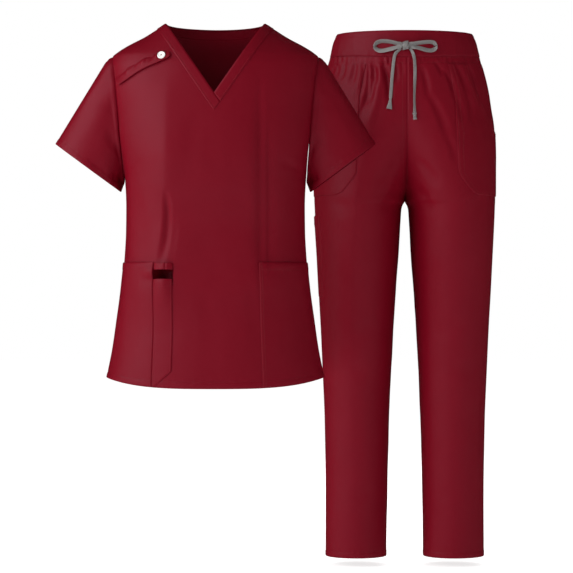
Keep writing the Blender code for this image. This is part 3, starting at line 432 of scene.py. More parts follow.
def spaced(stops, step):
    """Values through the stops, no more than step apart, with the stops kept."""
    result = [stops[0]]
    for a, b in zip(stops, stops[1:]):
        count = max(1, math.ceil(abs(b - a) / step - 1e-6))
        result += [a + (b - a) * (i + 1) / count for i in range(count)]
    return np.array(result)


def edged(step, length, close=(0.7, 1.6, 2.8, 4.2)):
    """Shares from 0 to 1 over a length, with finer steps beside the edges."""
    near = [c / length for c in close]
    stops = [0] + near + [1 - c for c in reversed(near)] + [1]
    return spaced(stops, step / length)


# ---------------------------------------------------------------- materials
def put(tree, socket, value):
    """Link an output to the socket, or set the socket to a constant."""
    if isinstance(value, bpy.types.NodeSocket):
        tree.links.new(value, socket)
    else:
        socket.default_value = value


def connect(tree, node, **inputs):
    """Put values into a node's inputs by name, with _ for a space."""
    for key, value in inputs.items():
        put(tree, node.inputs[key.replace("_", " ")], value)
    return node


def add_node(tree, kind, output, settings=(), **inputs):
    """The named output of a new node."""
    node = tree.nodes.new(kind)
    for key, value in settings:
        setattr(node, key, value)
    return connect(tree, node, **inputs).outputs[output]


def math_node(tree, operation, *values):
    node = tree.nodes.new("ShaderNodeMath")
    node.operation = operation
    for socket, value in zip(node.inputs, values):
        put(tree, socket, value)
    return node.outputs[0]


def noise(tree, coordinates, scale, detail=3.0, roughness=0.5):
    return add_node(tree, "ShaderNodeTexNoise", "Fac", Vector=coordinates, Scale=scale, Detail=detail,
                    Roughness=roughness)


def threads(tree, coordinates, axis, pitch, rotation=0.0):
    """Bands across the cloth, one for each thread."""
    if rotation:
        coordinates = add_node(tree, "ShaderNodeMapping", "Vector", Vector=coordinates,
                               Rotation=(0, 0, rotation))
    return add_node(tree, "ShaderNodeTexWave", "Fac", [("bands_direction", axis)], Vector=coordinates,
                    Scale=2 * pi / 20 / pitch, Distortion=0.0)


def mix_colours(tree, factor, first, second):
    node = tree.nodes.new("ShaderNodeMix")
    node.data_type = "RGBA"
    for index, value in ((0, factor), (6, (*first, 1)), (7, (*second, 1))):
        put(tree, node.inputs[index], value)
    return node.outputs[2]


def bump(tree, height, distance, strength, **below):
    return add_node(tree, "ShaderNodeBump", "Normal", Height=height, Distance=distance, Strength=strength,
                    **below)


def cloth_places(tree):
    return add_node(tree, "ShaderNodeAttribute", "Vector", [("attribute_name", "cloth")])


def material_parts(name):
    """A new material, its tree, its shader and the place on the object."""
    material = bpy.data.materials.new(name)
    material.use_nodes = True
    tree = material.node_tree
    return material, tree, tree.nodes["Principled BSDF"], add_node(tree, "ShaderNodeTexCoord", "Object")


def cloth_material(name, dark, light, roughness, weave_pitch, rib=0.0):
    """Woven or ribbed cloth: thread colour, weave, slub and soft unevenness of the hand."""
    material, tree, shader, where = material_parts(name)
    flat = cloth_places(tree)
    weave = math_node(tree, "MULTIPLY", threads(tree, flat, "X", weave_pitch),
                      threads(tree, flat, "Y", weave_pitch * 1.15))
    mottle = noise(tree, where, 220.0, 3.0, 0.6)
    shade = 0.16
    for value, share in ((noise(tree, where, 9.0, 2.0), 0.30), (mottle, 0.28),
                         (noise(tree, flat, 900.0, 2.0, 0.7), 0.16), (weave, 0.14)):
        shade = math_node(tree, "MULTIPLY_ADD", value, share, shade)
    normal = bump(tree, noise(tree, where, 34.0, 3.0, 0.55), 0.0012, 0.22)
    normal = bump(tree, weave, 0.00012, 0.5, Normal=normal)
    if rib:
        normal = bump(tree, threads(tree, flat, "X", rib), 0.0003, 0.14, Normal=normal)
    connect(tree, shader, Base_Color=mix_colours(tree, shade, dark, light), Normal=normal,
            Roughness=math_node(tree, "MULTIPLY_ADD", mottle, 0.12, roughness - 0.06),
            Specular_IOR_Level=0.13, Specular_Tint=(0.9, 0.9, 1.1, 1))
    return material


def thread_material():
    material, tree, shader, where = material_parts("sewing thread")
    fuzz = noise(tree, where, 2500.0, 2.0)
    connect(tree, shader, Base_Color=mix_colours(tree, fuzz, (0.13, 0.001, 0.005), (0.24, 0.006, 0.014)),
            Normal=bump(tree, fuzz, 0.0001, 0.6), Specular_IOR_Level=0.3,
            Roughness=math_node(tree, "MULTIPLY_ADD", fuzz, 0.2, 0.4))
    return material


def cord_material():
    """Flat grey braid: two ways of slanting strands with a satin sheen."""
    material, tree, shader, where = material_parts("cord braid")
    flat = cloth_places(tree)
    braid = math_node(tree, "MAXIMUM", *(threads(tree, flat, "X", 0.0011, lean) for lean in (0.7, -0.7)))
    mottle = noise(tree, where, 420.0, 3.0, 0.6)
    shade = math_node(tree, "MULTIPLY_ADD", braid, 0.5, math_node(tree, "MULTIPLY", mottle, 0.5))
    connect(tree, shader, Base_Color=mix_colours(tree, shade, (0.075, 0.071, 0.070), (0.27, 0.255, 0.25)),
            Normal=bump(tree, braid, 0.0004, 0.7), Specular_IOR_Level=1.0,
            Roughness=math_node(tree, "MULTIPLY_ADD", mottle, 0.25, 0.3))
    return material


def button_material():
    material, tree, shader, where = material_parts("button plastic")
    cloud = noise(tree, where, 260.0, 4.0, 0.6)
    connect(tree, shader, Base_Color=mix_colours(tree, cloud, (0.80, 0.79, 0.77), (0.90, 0.895, 0.88)),
            Normal=bump(tree, cloud, 0.0001, 0.2),
            Roughness=math_node(tree, "MULTIPLY_ADD", cloud, 0.12, 0.22))
    return material


SCRUB = cloth_material("scrub cloth", (0.122, 0.0006, 0.0056), (0.180, 0.0014, 0.0094), 0.44, 0.00042)
RIB = cloth_material("rib cloth", (0.118, 0.0006, 0.0054), (0.172, 0.0013, 0.0090), 0.48, 0.0005, 0.0021)
THREAD = thread_material()
CORD = cord_material()
BUTTON = button_material()
CLOTH_THICKNESS = 0.9


# ---------------------------------------------------------------- the trousers' form and the drawstring
CORD_WIDTH = 6.0
CORD_THICKNESS = 1.3
CORD_STEP = 1.2             # between the points of a cord's middle line
TROUSERS_X = 361
TROUSERS_Y = 172
WAIST_TOP = -6.7
WAIST_SEAM_SIDE = -51
WAIST_SEAM_DIP = 7
WAIST_HALF = 145.5          # half the trousers' width at the waistband's seam
CROTCH = -328
LEG_HEM = -1013
LEG = (                     # level, half width, parting, half space, front depth, back depth
    (0, 131, 0, 0, 99, 99), (-8, 132.5, 0, 0, 100, 100), (-24, 138.4, 0, 0, 102, 102),
    (-36, 141.3, 0, 0, 104, 104), (-55, 145.5, 0, 0, 106, 107), (-74, 151.9, 0.02, 0, 109, 111),
    (-113, 161.6, 0.09, 0, 114, 119), (-152, 167.6, 0.22, 0, 118, 127), (-190, 173.2, 0.38, 0, 121, 133),
    (-230, 174.7, 0.56, 0, 122, 137), (-270, 175, 0.75, 0, 121.5, 138), (-300, 175, 0.89, 0, 121, 135),
    (-328, 174.7, 1, 0.3, 120, 131), (-336, 174.3, 1, 4.5, 119, 129), (-345, 173.9, 1, 6.8, 118.5, 127.5),
    (-364, 173.2, 1, 7.9, 117, 124), (-423, 170.3, 1, 11.6, 110, 113), (-500, 166.4, 1, 17, 98, 99),
    (-577, 162.2, 1, 22, 88, 89), (-655, 158.7, 1, 26.1, 80, 82), (-751, 154.8, 1, 30.3, 73, 76),
    (-906, 152.7, 1, 33.9, 67, 69), (-1013, 152.9, 1, 35.8, 65, 66),
)
leg_outer, leg_parting, leg_space, leg_front_depth, leg_back_depth = table_curves(LEG)


def leg_round(z):
    """Middle and half width of one leg's round."""
    outer = leg_outer(z)
    parting = leg_parting(z)
    middle = np.where(z > CROTCH, outer * parting / (1 + parting), (outer + leg_space(z)) / 2)
    return middle, outer - middle


def inner_angle(z):
    return np.where(z > CROTCH, pi - np.arccos(np.clip(leg_parting(z), -1, 1)), pi)


def waist_seam(x):
    return WAIST_SEAM_SIDE - WAIST_SEAM_DIP * (1 - np.clip(np.abs(x) / WAIST_HALF, 0, 1) ** 2)


def front_y(x, z):
    """Depth of the trousers' or waistband's front at a place in front view, without folds."""
    middle, half = leg_round(z)
    share = np.clip((np.abs(x) - middle) / half, -1, 1)
    return TROUSERS_Y - leg_front_depth(z) * np.sqrt(1 - share ** 2)


# Gathers and creases of the trousers' front: x from their middle, z, at both ends; depth, half width.
FRONT_GATHERS = (
    (-138, -72, -143, -86, 1.6, 6), (-128, -66, -136, -96, 1.2, 6), (-118, -62, -126, -100, 2.4, 7),
    (-97, -66, -108, -112, 2.8, 8), (-82, -66, -91, -132, 2.6, 6.5), (-74, -64, -88, -170, 3.6, 5),
    (-66, -66, -65, -114, 5.0, 9), (-65, -104, -80, -152, 3.6, 9), (-52, -70, -54, -120, -3.4, 8),
    (-54, -108, -75, -186, -2.8, 11), (-46, -68, -36, -150, 5.6, 8.5), (-26, -66, -22, -108, 2.4, 7),
    (-12, -66, -10, -96, 1.2, 5), (8, -66, 9, -92, 1.2, 5), (26, -74, 39, -138, 3.0, 9),
    (38, -125, 79, -222, 3.2, 12), (76, -208, 92, -264, 2.0, 11), (52, -66, 69, -92, 2.2, 7),
    (73, -82, 92, -138, 2.7, 8), (91, -130, 104, -182, 2.0, 9), (90, -66, 117, -138, 2.7, 8),
    (116, -130, 122, -192, 1.8, 9), (117, -68, 132, -118, 2.4, 7), (131, -110, 140, -148, 1.6, 7),
)
LEG_CREASES = (
    (-16, -250, -60, -300, 2.0, 16), (18, -250, 58, -306, 2.2, 16), (-12, -290, -50, -352, 2.4, 15),
    (14, -296, 46, -356, 2.0, 15), (-150, -330, -96, -362, 1.2, 22), (150, -320, 100, -372, 1.2, 24),
    (-60, -560, -120, -600, 1.4, 26), (56, -590, 116, -560, 1.4, 26), (-128, -640, -70, -668, 1.2, 22),
    (132, -660, 74, -640, 1.2, 24), (-60, -880, -110, -902, 1.0, 22), (62, -900, 112, -876, 1.0, 22),
)


def back_gathers():
    rows = []
    for i in range(22):
        share = (i + 0.5) / 22
        x = -140 + 280 * share + 4 * math.sin(5 * i)
        foot = -104 - 44 * (0.5 + 0.5 * math.sin(2.3 * i + 1))
        rows.append((x, -64, x * (1.08 + 0.05 * math.sin(3 * i)), foot, 2.6 + 1.4 * math.sin(4.1 * i + 2),
                     7.5 + 1.5 * math.sin(7 * i)))
    return tuple(rows)


BACK_CREASES_LEG = (
    (-14, -270, -70, -320, 3.0, 18), (14, -270, 66, -326, 3.0, 18), (-10, -310, -60, -372, 2.6, 16),
    (12, -312, 60, -366, 2.4, 16), (-150, -352, -80, -340, 1.8, 20), (150, -346, 84, -336, 1.8, 20),
    (-50, -590, -130, -616, 2.0, 24), (50, -612, 128, -590, 2.0, 24), (-120, -650, -56, -636, 1.6, 20),
    (122, -640, 60, -660, 1.6, 20), (-60, -900, -120, -880, 1.2, 22), (60, -880, 120, -905, 1.2, 22),
)
BACK_GATHERS = back_gathers()
CASING = 11.0               # depth of the sewn band under the waistband


def leg_height(x, z, side):
    """Height of gathers, creases and puckers at a place in front view, x from the trousers' middle."""
    below = waist_seam(x) - z
    open_share = 0.35 + 0.65 * ramp(below, 0, CASING)
    height = 1.15 * creases(x, z, FRONT_GATHERS if side < 0 else BACK_GATHERS, 1.2) * open_share
    height = height + creases(x, z, LEG_CREASES if side < 0 else BACK_CREASES_LEG)
    pull = 0.5 + 0.45 * ripples(x, 0 * z, 60, 11) + 1.0 * bell(x + 38, 26)
    puckers = ripples(x, z * 0.12, 7.5, 12 + (side > 0))
    fade = ramp(below, 0, 2) * (1 - ramp(below, 5, 24))
    height = height + 0.9 * pull * puckers * fade
    return height + 0.35 * ripples(x, z, 120, 13) + 0.12 * ripples(x, z, 34, 14)


def leg_at(angle, z, leg, side, extra=0):
    """Points of a leg: angle 0 is the outer seam; leg -1 is on the viewer's left."""
    depth_curve = leg_front_depth if side < 0 else leg_back_depth

    def plain(a, level):
        middle, half = leg_round(level)
        x = leg * (middle + half * np.cos(a))
        return np.stack([x, side * depth_curve(level) * np.sin(a), level], -1)

    angle, z = np.broadcast_arrays(np.asarray(angle, float), np.asarray(z, float))
    point = plain(angle, z)
    around = plain(angle + 0.01, z) - plain(angle - 0.01, z)
    up = plain(angle, z + 0.5) - plain(angle, z - 0.5)
    normal = unit(np.cross(around, up))
    middle = leg_round(z)[0]
    outward = np.stack([point[..., 0] - leg * middle, point[..., 1], 0 * z], -1)
    normal = normal * np.sign((normal * outward).sum(-1, keepdims=True))
    last = inner_angle(z)
    width = leg_round(z)[1]
    from_outer = angle * width
    from_inner = (last - angle) * width
    keep = ramp(from_outer, 0, 26) * (0.35 + 0.65 * ramp(from_inner, 0, 10))
    height = leg_height(point[..., 0], z, side) * keep
    height = height + seam_edge(from_outer, 0.7) + seam_edge(from_inner, 0.7)
    height = height + hem_form(z - LEG_HEM, angle * width * side, seed=20 + leg + 2 * side)
    below = waist_seam(point[..., 0]) - z
    height = height - 0.5 * bell(below - CASING, 2.4) * (from_outer > 2)
    return point + normal * (height + extra)[..., None] + np.array([TROUSERS_X, TROUSERS_Y - side * LAP, 0])


def leg_angle(x, z):
    """Angle on a leg at a distance x from the trousers' middle."""
    middle, half = leg_round(z)
    return np.arccos(np.clip((np.abs(x) - middle) / half, -1, 1))


def front_place(x, z, lift):
    """A point in front of the trousers or waistband, lift off the cloth."""
    x = np.asarray(x, float)
    z = np.asarray(z, float)
    gathered = np.where(z < waist_seam(x), leg_height(x, z, -1), 0)
    return np.stack([TROUSERS_X + x, front_y(x, z) - gathered - lift, z], -1)


def smooth_line(stops, step):
    """Evenly spaced points on a smooth curve through the stops."""
    stops = np.asarray(stops, float)
    dense = []
    for i in range(len(stops) - 1):
        before = stops[max(i - 1, 0)]
        a, b = stops[i], stops[i + 1]
        after = stops[min(i + 2, len(stops) - 1)]
        t = np.arange(12)[:, None] / 12
        dense.append(0.5 * (2 * a + (b - before) * t + (2 * before - 5 * a + 4 * b - after) * t ** 2
                            + (3 * a - before - 3 * b + after) * t ** 3))
    dense = np.concatenate(dense + [stops[-1:]])
    along = distances(dense)
    return points_at(np.linspace(0, along[-1], max(3, round(along[-1] / step) + 1)), along, dense)


def ribbon(name, line, across, width, thickness):
    """Flat braid along a line: across is the direction of its width and width its size at each point."""
    tangent = unit(np.gradient(line, axis=0))
    across = unit(across - (across * tangent).sum(-1, keepdims=True) * tangent)
    flat = np.cross(tangent, across)
    sides = 14
    turn = np.arange(sides) * 2 * pi / sides
    c = np.sign(np.cos(turn)) * np.abs(np.cos(turn)) ** 0.6
    s = np.sign(np.sin(turn)) * np.abs(np.sin(turn)) ** 0.9
    width = np.broadcast_to(width, len(line))
    rings = (line[:, None] + across[:, None] * (c * 0.5)[None, :, None] * width[:, None, None]
             + flat[:, None] * (s * thickness / 2)[None, :, None])
    quads = grid_quads(len(line), sides, True)
    points = rings.reshape(-1, 3)
    along = distances(line)
    places = np.stack(np.broadcast_arrays(along[:, None], c * CORD_WIDTH / 2 * np.ones((len(line), 1))), -1)
    faces = quads.tolist()
    faces.append(list(range(sides))[::-1])
    faces.append([len(points) - sides + i for i in range(sides)])
    normal, _ = normals_of(points, quads)
    if (normal * (points - np.repeat(line, sides, 0))).sum() < 0:
        faces = [f[::-1] for f in faces]
    obj = make_object(name, points, faces, CORD, places.reshape(-1, 2))
    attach(obj, "root")
    return obj


def route(stops):
    """A cord's centre line and its width's tilts: stops are x, z, lift and tilt in degrees."""
    stops = np.array(stops, float)
    centre = front_place(stops[:, 0], stops[:, 1], stops[:, 2] + 2)
    line = smooth_line(np.concatenate([centre, stops[:, 3:4]], 1), CORD_STEP)
    return line[:, :3], np.radians(line[:, 3])


# Where each cord runs over the front: x from the trousers' middle, z, lift, tilt of its width to the wall.
TAIL_LEFT = (
    (-11.5, -43.6, 2.5, 35), (-16, -46.2, 1.6, 25), (-20.2, -49.5, 1.4, 12), (-22.9, -53.5, 1.4, 5),
    (-24.6, -59, 1.5, 0), (-25.8, -66, 1.6, -4), (-26.8, -75, 1.6, -6), (-27.9, -85, 1.6, -2),
    (-29, -96, 1.6, 4), (-29.9, -107, 1.6, 8), (-30.6, -118, 1.6, 6), (-31.5, -129, 1.6, 0),
    (-32.5, -139, 1.6, -4), (-33.4, -147, 1.6, -2), (-34.2, -153, 1.6, 2), (-34.9, -158, 1.6, 6),
)
TAIL_RIGHT = (
    (4, -43.4, 2.5, -35), (7.4, -46, 1.6, -28), (9.9, -50, 1.4, -12), (11.7, -55, 1.4, 0),
    (12.9, -60.5, 1.5, 14), (13.8, -68, 1.6, 20), (14.2, -77, 1.6, 14), (14.3, -87, 1.6, 8),
    (14, -98, 1.6, 14), (13.6, -109, 1.6, 26), (13.2, -121, 1.6, 38), (12.9, -132, 1.6, 44),
    (12.8, -142, 1.6, 46), (13.1, -152, 1.6, 40), (13.2, -161, 1.6, 20), (13.2, -167.5, 1.6, 0),
    (13.4, -173, 1.6, 6), (13.9, -175.5, 1.6, 10), (14.4, -178, 1.6, 14),
)
# The loops' lift and tilt are the same on both sides; their places are x, z.
LOOP_TURNS = (
    (4.5, 80), (4.8, 42), (5, 42), (5, 42), (4.5, 42), (4, 42), (3.5, 42), (3, 52), (3, 82),
    (3, 108), (3, 122), (3, 122), (3, 122), (3, 122), (3, 122), (3.2, 122), (3.4, 80),
)
LOOP_LEFT = (
    (-9.5, -34.8), (-17, -33.4), (-23.5, -31.9), (-30, -30.3), (-37, -29), (-44, -28.3),
    (-50.5, -28.5), (-56.5, -30.4), (-60.2, -34.2), (-60.8, -39), (-58.2, -43.4), (-53, -46),
    (-46.5, -46.3), (-39.5, -45.2), (-30, -42.8), (-20, -40.2), (-9.5, -38.4),
)
LOOP_RIGHT = (
    (2.4, -34.6), (10, -33.6), (17, -32.6), (24, -31.6), (31, -30.9), (38, -30.2),
    (44.5, -29.9), (49.8, -31), (53.4, -34.4), (54.2, -38.8), (52, -43), (47, -45.6),
    (41, -45.9), (34, -44.7), (25, -42.2), (15, -39.9), (2.4, -38.2),
)
BOW_KNOT = (-3.7, -36.9)
END_KNOT = (13.2, -167.5)


def make_drawstring():
    """Bow, its knot and the two tails, each a flat braid."""
    bow_middle = front_place(*BOW_KNOT, 5.9)
    turn = np.linspace(0, 2 * pi, 49)[:-1]
    wrap = []
    for lean, reach, tall, shift in ((0.28, 4.6, 7.9, 0.0), (-0.5, 3.9, 6.4, 0.6)):
        wrap.append(bow_middle + np.stack([
            math.sin(lean) * tall * np.cos(turn) + shift,
            reach * np.sin(turn),
            tall * np.cos(turn)], -1))
    knot_parts = []
    for i, line in enumerate(wrap):
        closed = np.concatenate([line, line[:1]])
        knot_parts.append(ribbon("bow_wrap_%d" % i, closed, np.array([[1.0, 0.1, 0.15]] * len(closed)),
                                 7.4 - i, 1.7))
    core = ribbon("bow_core", bow_middle + np.array([[-6.6, 0.3, 0.2], [-3, -0.6, 0.5], [0, -0.8, 0],
                                                     [3, -0.6, -0.5], [6.6, 0.3, -0.2]]),
                  np.array([[0, 0.2, 1.0]] * 5), np.array([5.0, 7.6, 8.6, 7.6, 5.0]), 6.4)
    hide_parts("bow_knot")
    knot_parts.append(core)
    for loop_name, stops, node, carried in (("loop_left", LOOP_LEFT, "bow_loop_left", knot_parts),
                                            ("loop_right", LOOP_RIGHT, "bow_loop_right", [])):
        line, tilt = route([place + turned for place, turned in zip(stops, LOOP_TURNS)])
        across = np.stack([0 * tilt, -np.cos(tilt), np.sin(tilt)], -1)
        share = np.linspace(0, 1, len(line))
        width = CORD_WIDTH + 3.8 * np.abs(np.sin(2 * pi * share)) ** 0.8
        obj = ribbon(loop_name, line, across, width, CORD_THICKNESS)
        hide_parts(node)
    ball = make_end_knot()
    for tail_name, stops, node_names, extra in (
            ("tail_left", TAIL_LEFT, ("cord_tail_left",), []),
            ("tail_right", TAIL_RIGHT, ("cord_tail_right", "cord_end_right"), [ball])):
        line, tilt = route(stops)
        across = np.stack([np.cos(tilt), np.sin(tilt), 0 * tilt], -1)
        share = np.linspace(0, 1, len(line))
        if extra:
            width = CORD_WIDTH * (1 - 0.45 * bell(share - 0.905, 0.04)) + 1.2 * ramp(share, 0.955, 1)
        else:
            width = CORD_WIDTH * (1 - 0.3 * bell(share - 0.86, 0.035)) + 4.6 * ramp(share, 0.88, 1)
        obj = ribbon(tail_name, line, across, width, CORD_THICKNESS)
        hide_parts(*node_names)


def make_end_knot():
    """Overhand knot pulled tight: a trefoil of the braid."""
    middle = front_place(*END_KNOT, 4.6)
    turn = np.linspace(0, 2 * pi, 61)
    line = middle + np.stack([
        (np.sin(turn) + 2 * np.sin(2 * turn)) * 0.95,
        np.sin(3 * turn) * 1.5,
        (np.cos(turn) - 2 * np.cos(2 * turn)) * 1.15], -1)
    out = unit(line - middle) + np.array([0, -0.4, 0])
    obj = ribbon("knot_end", line, np.cross(unit(np.gradient(line, axis=0)), out), 3.6, 2.2)
    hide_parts("end_knot")
    return obj


make_drawstring()


# ---------------------------------------------------------------- the top
def away(x, y, z):
    return lambda middle: np.array([x, y, z], float)


def front_weave(grid):
    """Places on the front's cloth, across from its middle and up."""
    half = np.sign(grid[0, -1, 0])
    along = np.linalg.norm(np.diff(grid, axis=1, prepend=grid[:, :1]), axis=-1).cumsum(1)
    return np.stack([grid[:, :1, 0] + half * along, grid[..., 2]], -1)


def pocket_mouth(x, z):
    """Depth of the soft hollow between the cloth loop and the pen pocket's mouth."""
    across = ramp(x, -116, -108) * (1 - ramp(x, -81, -75))
    up = ramp(z, -491, -483) * (1 - ramp(z, -462, -454))
    return 32.0 * across * up


def make_top_front():
    rows_low = spaced([TOP_HEM + rise for rise in HEM_RISES] + [V_FOOT], 3.2)
    rows_high = spaced([V_FOOT, -100, -40, -20, NECK_LEVEL], 2.6)
    shares = edged(2.6, 180)
    grids = []
    for half in (-1, 1):
        for rows in (rows_low, rows_high):
            t, share = mesh_grid(rows, shares)
            plain = front_at(half, share, t)
            grids.append(front_at(half, share, t, -pocket_mouth(plain[..., 0], plain[..., 2])))
    return shell("front", grids, away(0, -1, 0), CLOTH_THICKNESS, SCRUB, weave=front_weave)


def make_top_back():
    rows = spaced([TOP_HEM + rise for rise in HEM_RISES] + [SHOULDER], 3.6)
    corner = NECK_CORNER / SHOULDER_HALF
    half = spaced([0, corner, 1 - 4.2 / 190, 1 - 2.8 / 190, 1 - 1.6 / 190, 1 - 0.7 / 190, 1], 3.4 / 190)
    shares = np.concatenate([-half[:0:-1], half])
    t, share = mesh_grid(rows, shares)
    return shell("back", [back_at(share, t)], away(0, 1, 0), CLOTH_THICKNESS, SCRUB)


def armhole_edge(half, side, count):
    """The armhole seam's points from the shoulder down one side, evenly spaced."""
    z = SHOULDER + (UNDERARM - SHOULDER) * (0.5 - 0.5 * np.cos(np.linspace(0, pi, 200)))
    x = half * np.where(z > UNDERARM, armhole_width(z), UNDERARM_HALF)
    edge = torso(x, z, side)
    edge[0, 1] = 0
    edge[-1, 1] = 0
    along = distances(edge)
    return points_at(np.linspace(0, along[-1], count), along, edge)


CUFF_TIP = np.array([299, 0, -227.5])
CUFF_FOOT = np.array([177, 0, -317])
SLEEVE_START = np.array([181, 0, -181])        # the armhole's middle
CUFF_DEPTH = 53
SLEEVE_CROWN = 6
SLEEVE_SIDES = 76           # columns on each of the sleeve's two sides


def sleeve_ring():
    """Turn round the sleeve for each column, 0 at the shoulder and pi under the arm, front first."""
    down = np.linspace(0, pi, SLEEVE_SIDES + 1)
    return np.concatenate([down, pi + down[1:-1]])


def sleeve_axis(half):
    """The armhole's middle, the direction from there to the cuff's, and the cuff's upper and lower corner."""
    mirror = np.array([half, 1, 1])
    start, tip, foot = SLEEVE_START * mirror, CUFF_TIP * mirror, CUFF_FOOT * mirror
    return start, unit((tip + foot) / 2 - start), tip, foot


def sleeve_at(half, turn, share, extra=0):
    """Points of a sleeve: turn round it in radians, share from the armhole, 0, to the cuff, 1."""
    count = 160
    front = armhole_edge(half, -1, count)
    back = armhole_edge(half, 1, count)
    flat = np.where(turn <= pi, turn / pi, (2 * pi - turn) / pi)
    at = np.linspace(0, 1, count)
    seam = np.stack([np.where(turn <= pi, np.interp(flat, at, front[:, i]), np.interp(flat, at, back[:, i]))
                     for i in range(3)], -1)
    start, axis, tip, foot = sleeve_axis(half)
    cuff = (tip + foot) / 2 + (tip - foot) / 2 * np.cos(turn)[..., None]
    cuff = cuff + np.stack([0 * turn, -CUFF_DEPTH * np.sin(turn), 0 * turn], -1)
    line = cuff - seam
    length = np.linalg.norm(line, axis=-1)
    tuck = 2.6 / length                             # the sleeve's edge lies inside the armhole
    point = seam + line * (share * (1 + tuck) - tuck)[..., None]
    top = 0.5 + 0.5 * np.cos(turn)
    crown = SLEEVE_CROWN * top * (1 - share) * ramp(share, 0, 0.1)
    point = point + crown[..., None] * np.array([half * 0.85, 0, 0.52])
    from_axis = point - start
    outward = unit(from_axis - (from_axis @ axis)[..., None] * axis)
    side = np.where(turn <= pi, 1, 2)
    around = flat * 260.0
    near = share * length
    far = (1 - share) * length
    height = sleeve_height(half, side, around, near, far, turn)
    return point + outward * (height + extra)[..., None]


# Sleeve creases: distance down from the shoulder line, distance from the armhole, at both ends.
SLEEVE_CREASES = (
    (246, 4, 190, 62, 3.4, 13), (250, 6, 222, 40, 2.4, 8), (205, 2, 130, 46, 2.2, 15),
    (120, 3, 70, 60, 1.4, 16), (60, 6, 40, 110, -1.2, 22), (170, 60, 120, 150, 1.2, 18),
)


def sleeve_height(half, side, around, near, far, turn):
    height = creases(around, near, SLEEVE_CREASES) * np.where(side == 1, 1, 0.8)
    height = height + 0.35 * ripples(around + 300 * side, near, 90, 30 + half) * np.sin(turn) ** 2
    height = height * ramp(far, 0, 14)
    cap = 1.6 * bell(near - 7, 7) * (0.35 + 0.65 * (0.5 + 0.5 * np.cos(turn)))
    height = height + cap + seam_edge(near, 1.6, 3.2)
    return height + hem_form(far, around * side, seed=31 + half)


def make_sleeve(half, name):
    turn = sleeve_ring()
    shares = spaced([0, 0.008, 0.02, 0.04, 0.3, 0.7, 0.86, 0.9, 0.92, 0.94, 0.955, 0.98, 0.99, 0.995, 1],
                    0.022)
    s, a = mesh_grid(shares, turn)
    start, axis, _, _ = sleeve_axis(half)

    def outward(middle):
        off = middle - start
        return off - (off @ axis)[:, None] * axis

    return shell(name, [sleeve_at(half, a, s)], outward, CLOTH_THICKNESS, SCRUB, closed=True)


BAND_SIDE_STEP = BAND_WIDTH * math.cos(math.atan(V_SLOPE))
BAND_RISE = BAND_WIDTH * math.sin(math.atan(V_SLOPE))
V_POINT = V_FOOT + BAND_SIDE_STEP / V_SLOPE + BAND_RISE
V_LAP = (V_FOOT + V_POINT) / 2
V_LAP_X = float(v_edge(V_LAP))
BAND_LENGTH = 210           # a front band's, about
BACK_BAND_HALF = 95
BAND_LEVELS = [-150, -126, -102, -78, -57, -40, -27, -18.5]


def band_form(across, along, seed):
    """Raised, doubled neckband: rounded fold at the inner edge and a turned-in seam at the outer one."""
    inner = (1 - across) * BAND_WIDTH
    outer = across * BAND_WIDTH
    pucker = ripples(along, across * 8, 13, seed)
    return (1.25 - 1.5 * (1 - ramp(inner, 0, 2.2)) - 0.9 * (1 - ramp(outer, 0, 1.4))
            - 0.3 * bell(outer - 3.4, 1.8) + 0.14 * pucker * bell(outer - 3, 8))


def band_front_at(half, along, across, extra=0):
    """Points of a front neckband: along from the V's foot to the shoulder, across from the outer edge."""
    if half < 0:
        lines = [((0, V_FOOT - 1.6), (V_LAP_X + 0.9, V_LAP - 0.6))]
        levels = BAND_LEVELS
    else:
        lines = [((-V_LAP_X - 0.9, V_LAP - 0.9), (0.4, V_POINT - 0.6))]
        levels = [z for z in BAND_LEVELS if z + BAND_RISE > V_POINT + 2]
    for z in levels:
        edge_x = -float(v_edge(z))
        lines.append(((edge_x - 1.6, z), (edge_x + BAND_SIDE_STEP, z + BAND_RISE)))
    lines.append(((-NECK_CORNER - 1.6, float(ridge_level(NECK_CORNER + 1.6))),
                  (-BAND_CORNER, float(ridge_level(BAND_CORNER)))))
    lines = np.array(lines)
    steps = np.linalg.norm(np.diff(lines.mean(1), axis=0), axis=1)
    keys = np.concatenate([[0], np.cumsum(steps)]) / steps.sum()
    ax, az, bx, bz = (np.interp(along, keys, lines[:, i, j]) for i, j in ((0, 0), (0, 1), (1, 0), (1, 1)))
    x = -half * (ax + (bx - ax) * across)
    z = az + (bz - az) * across
    height = band_form(across, along * BAND_LENGTH, 40 + half) + extra
    end = seam_edge(along * BAND_LENGTH, 1.0, 2.0) + seam_edge((1 - along) * BAND_LENGTH, 0.8, 2.0)
    point = torso(x, z, -1, height + end)
    flat_end = ramp(along, 0.985, 1)
    point[..., 1] = point[..., 1] * (1 - flat_end) - SEAM
    return point


def band_back_at(along, across, extra=0):
    """Points of the back neckband: along from -1 to 1."""
    low_x = along * (NECK_CORNER + 1.6)
    high_x = along * BAND_CORNER
    low = band_level(low_x, False) - 1.6
    high = band_level(high_x, True)
    x = low_x + (high_x - low_x) * across
    z = low + (high - low) * across
    z = np.where(np.abs(along) > 0.999, ridge_level(x), z)
    end = seam_edge((1 - np.abs(along)) * BACK_BAND_HALF, 0.8, 2.0)
    point = torso(x, z, 1, band_form(across, along * BACK_BAND_HALF, 44) + end + extra)
    flat_end = ramp(np.abs(along), 0.97, 1)
    point[..., 1] = point[..., 1] * (1 - flat_end) + SEAM
    return point


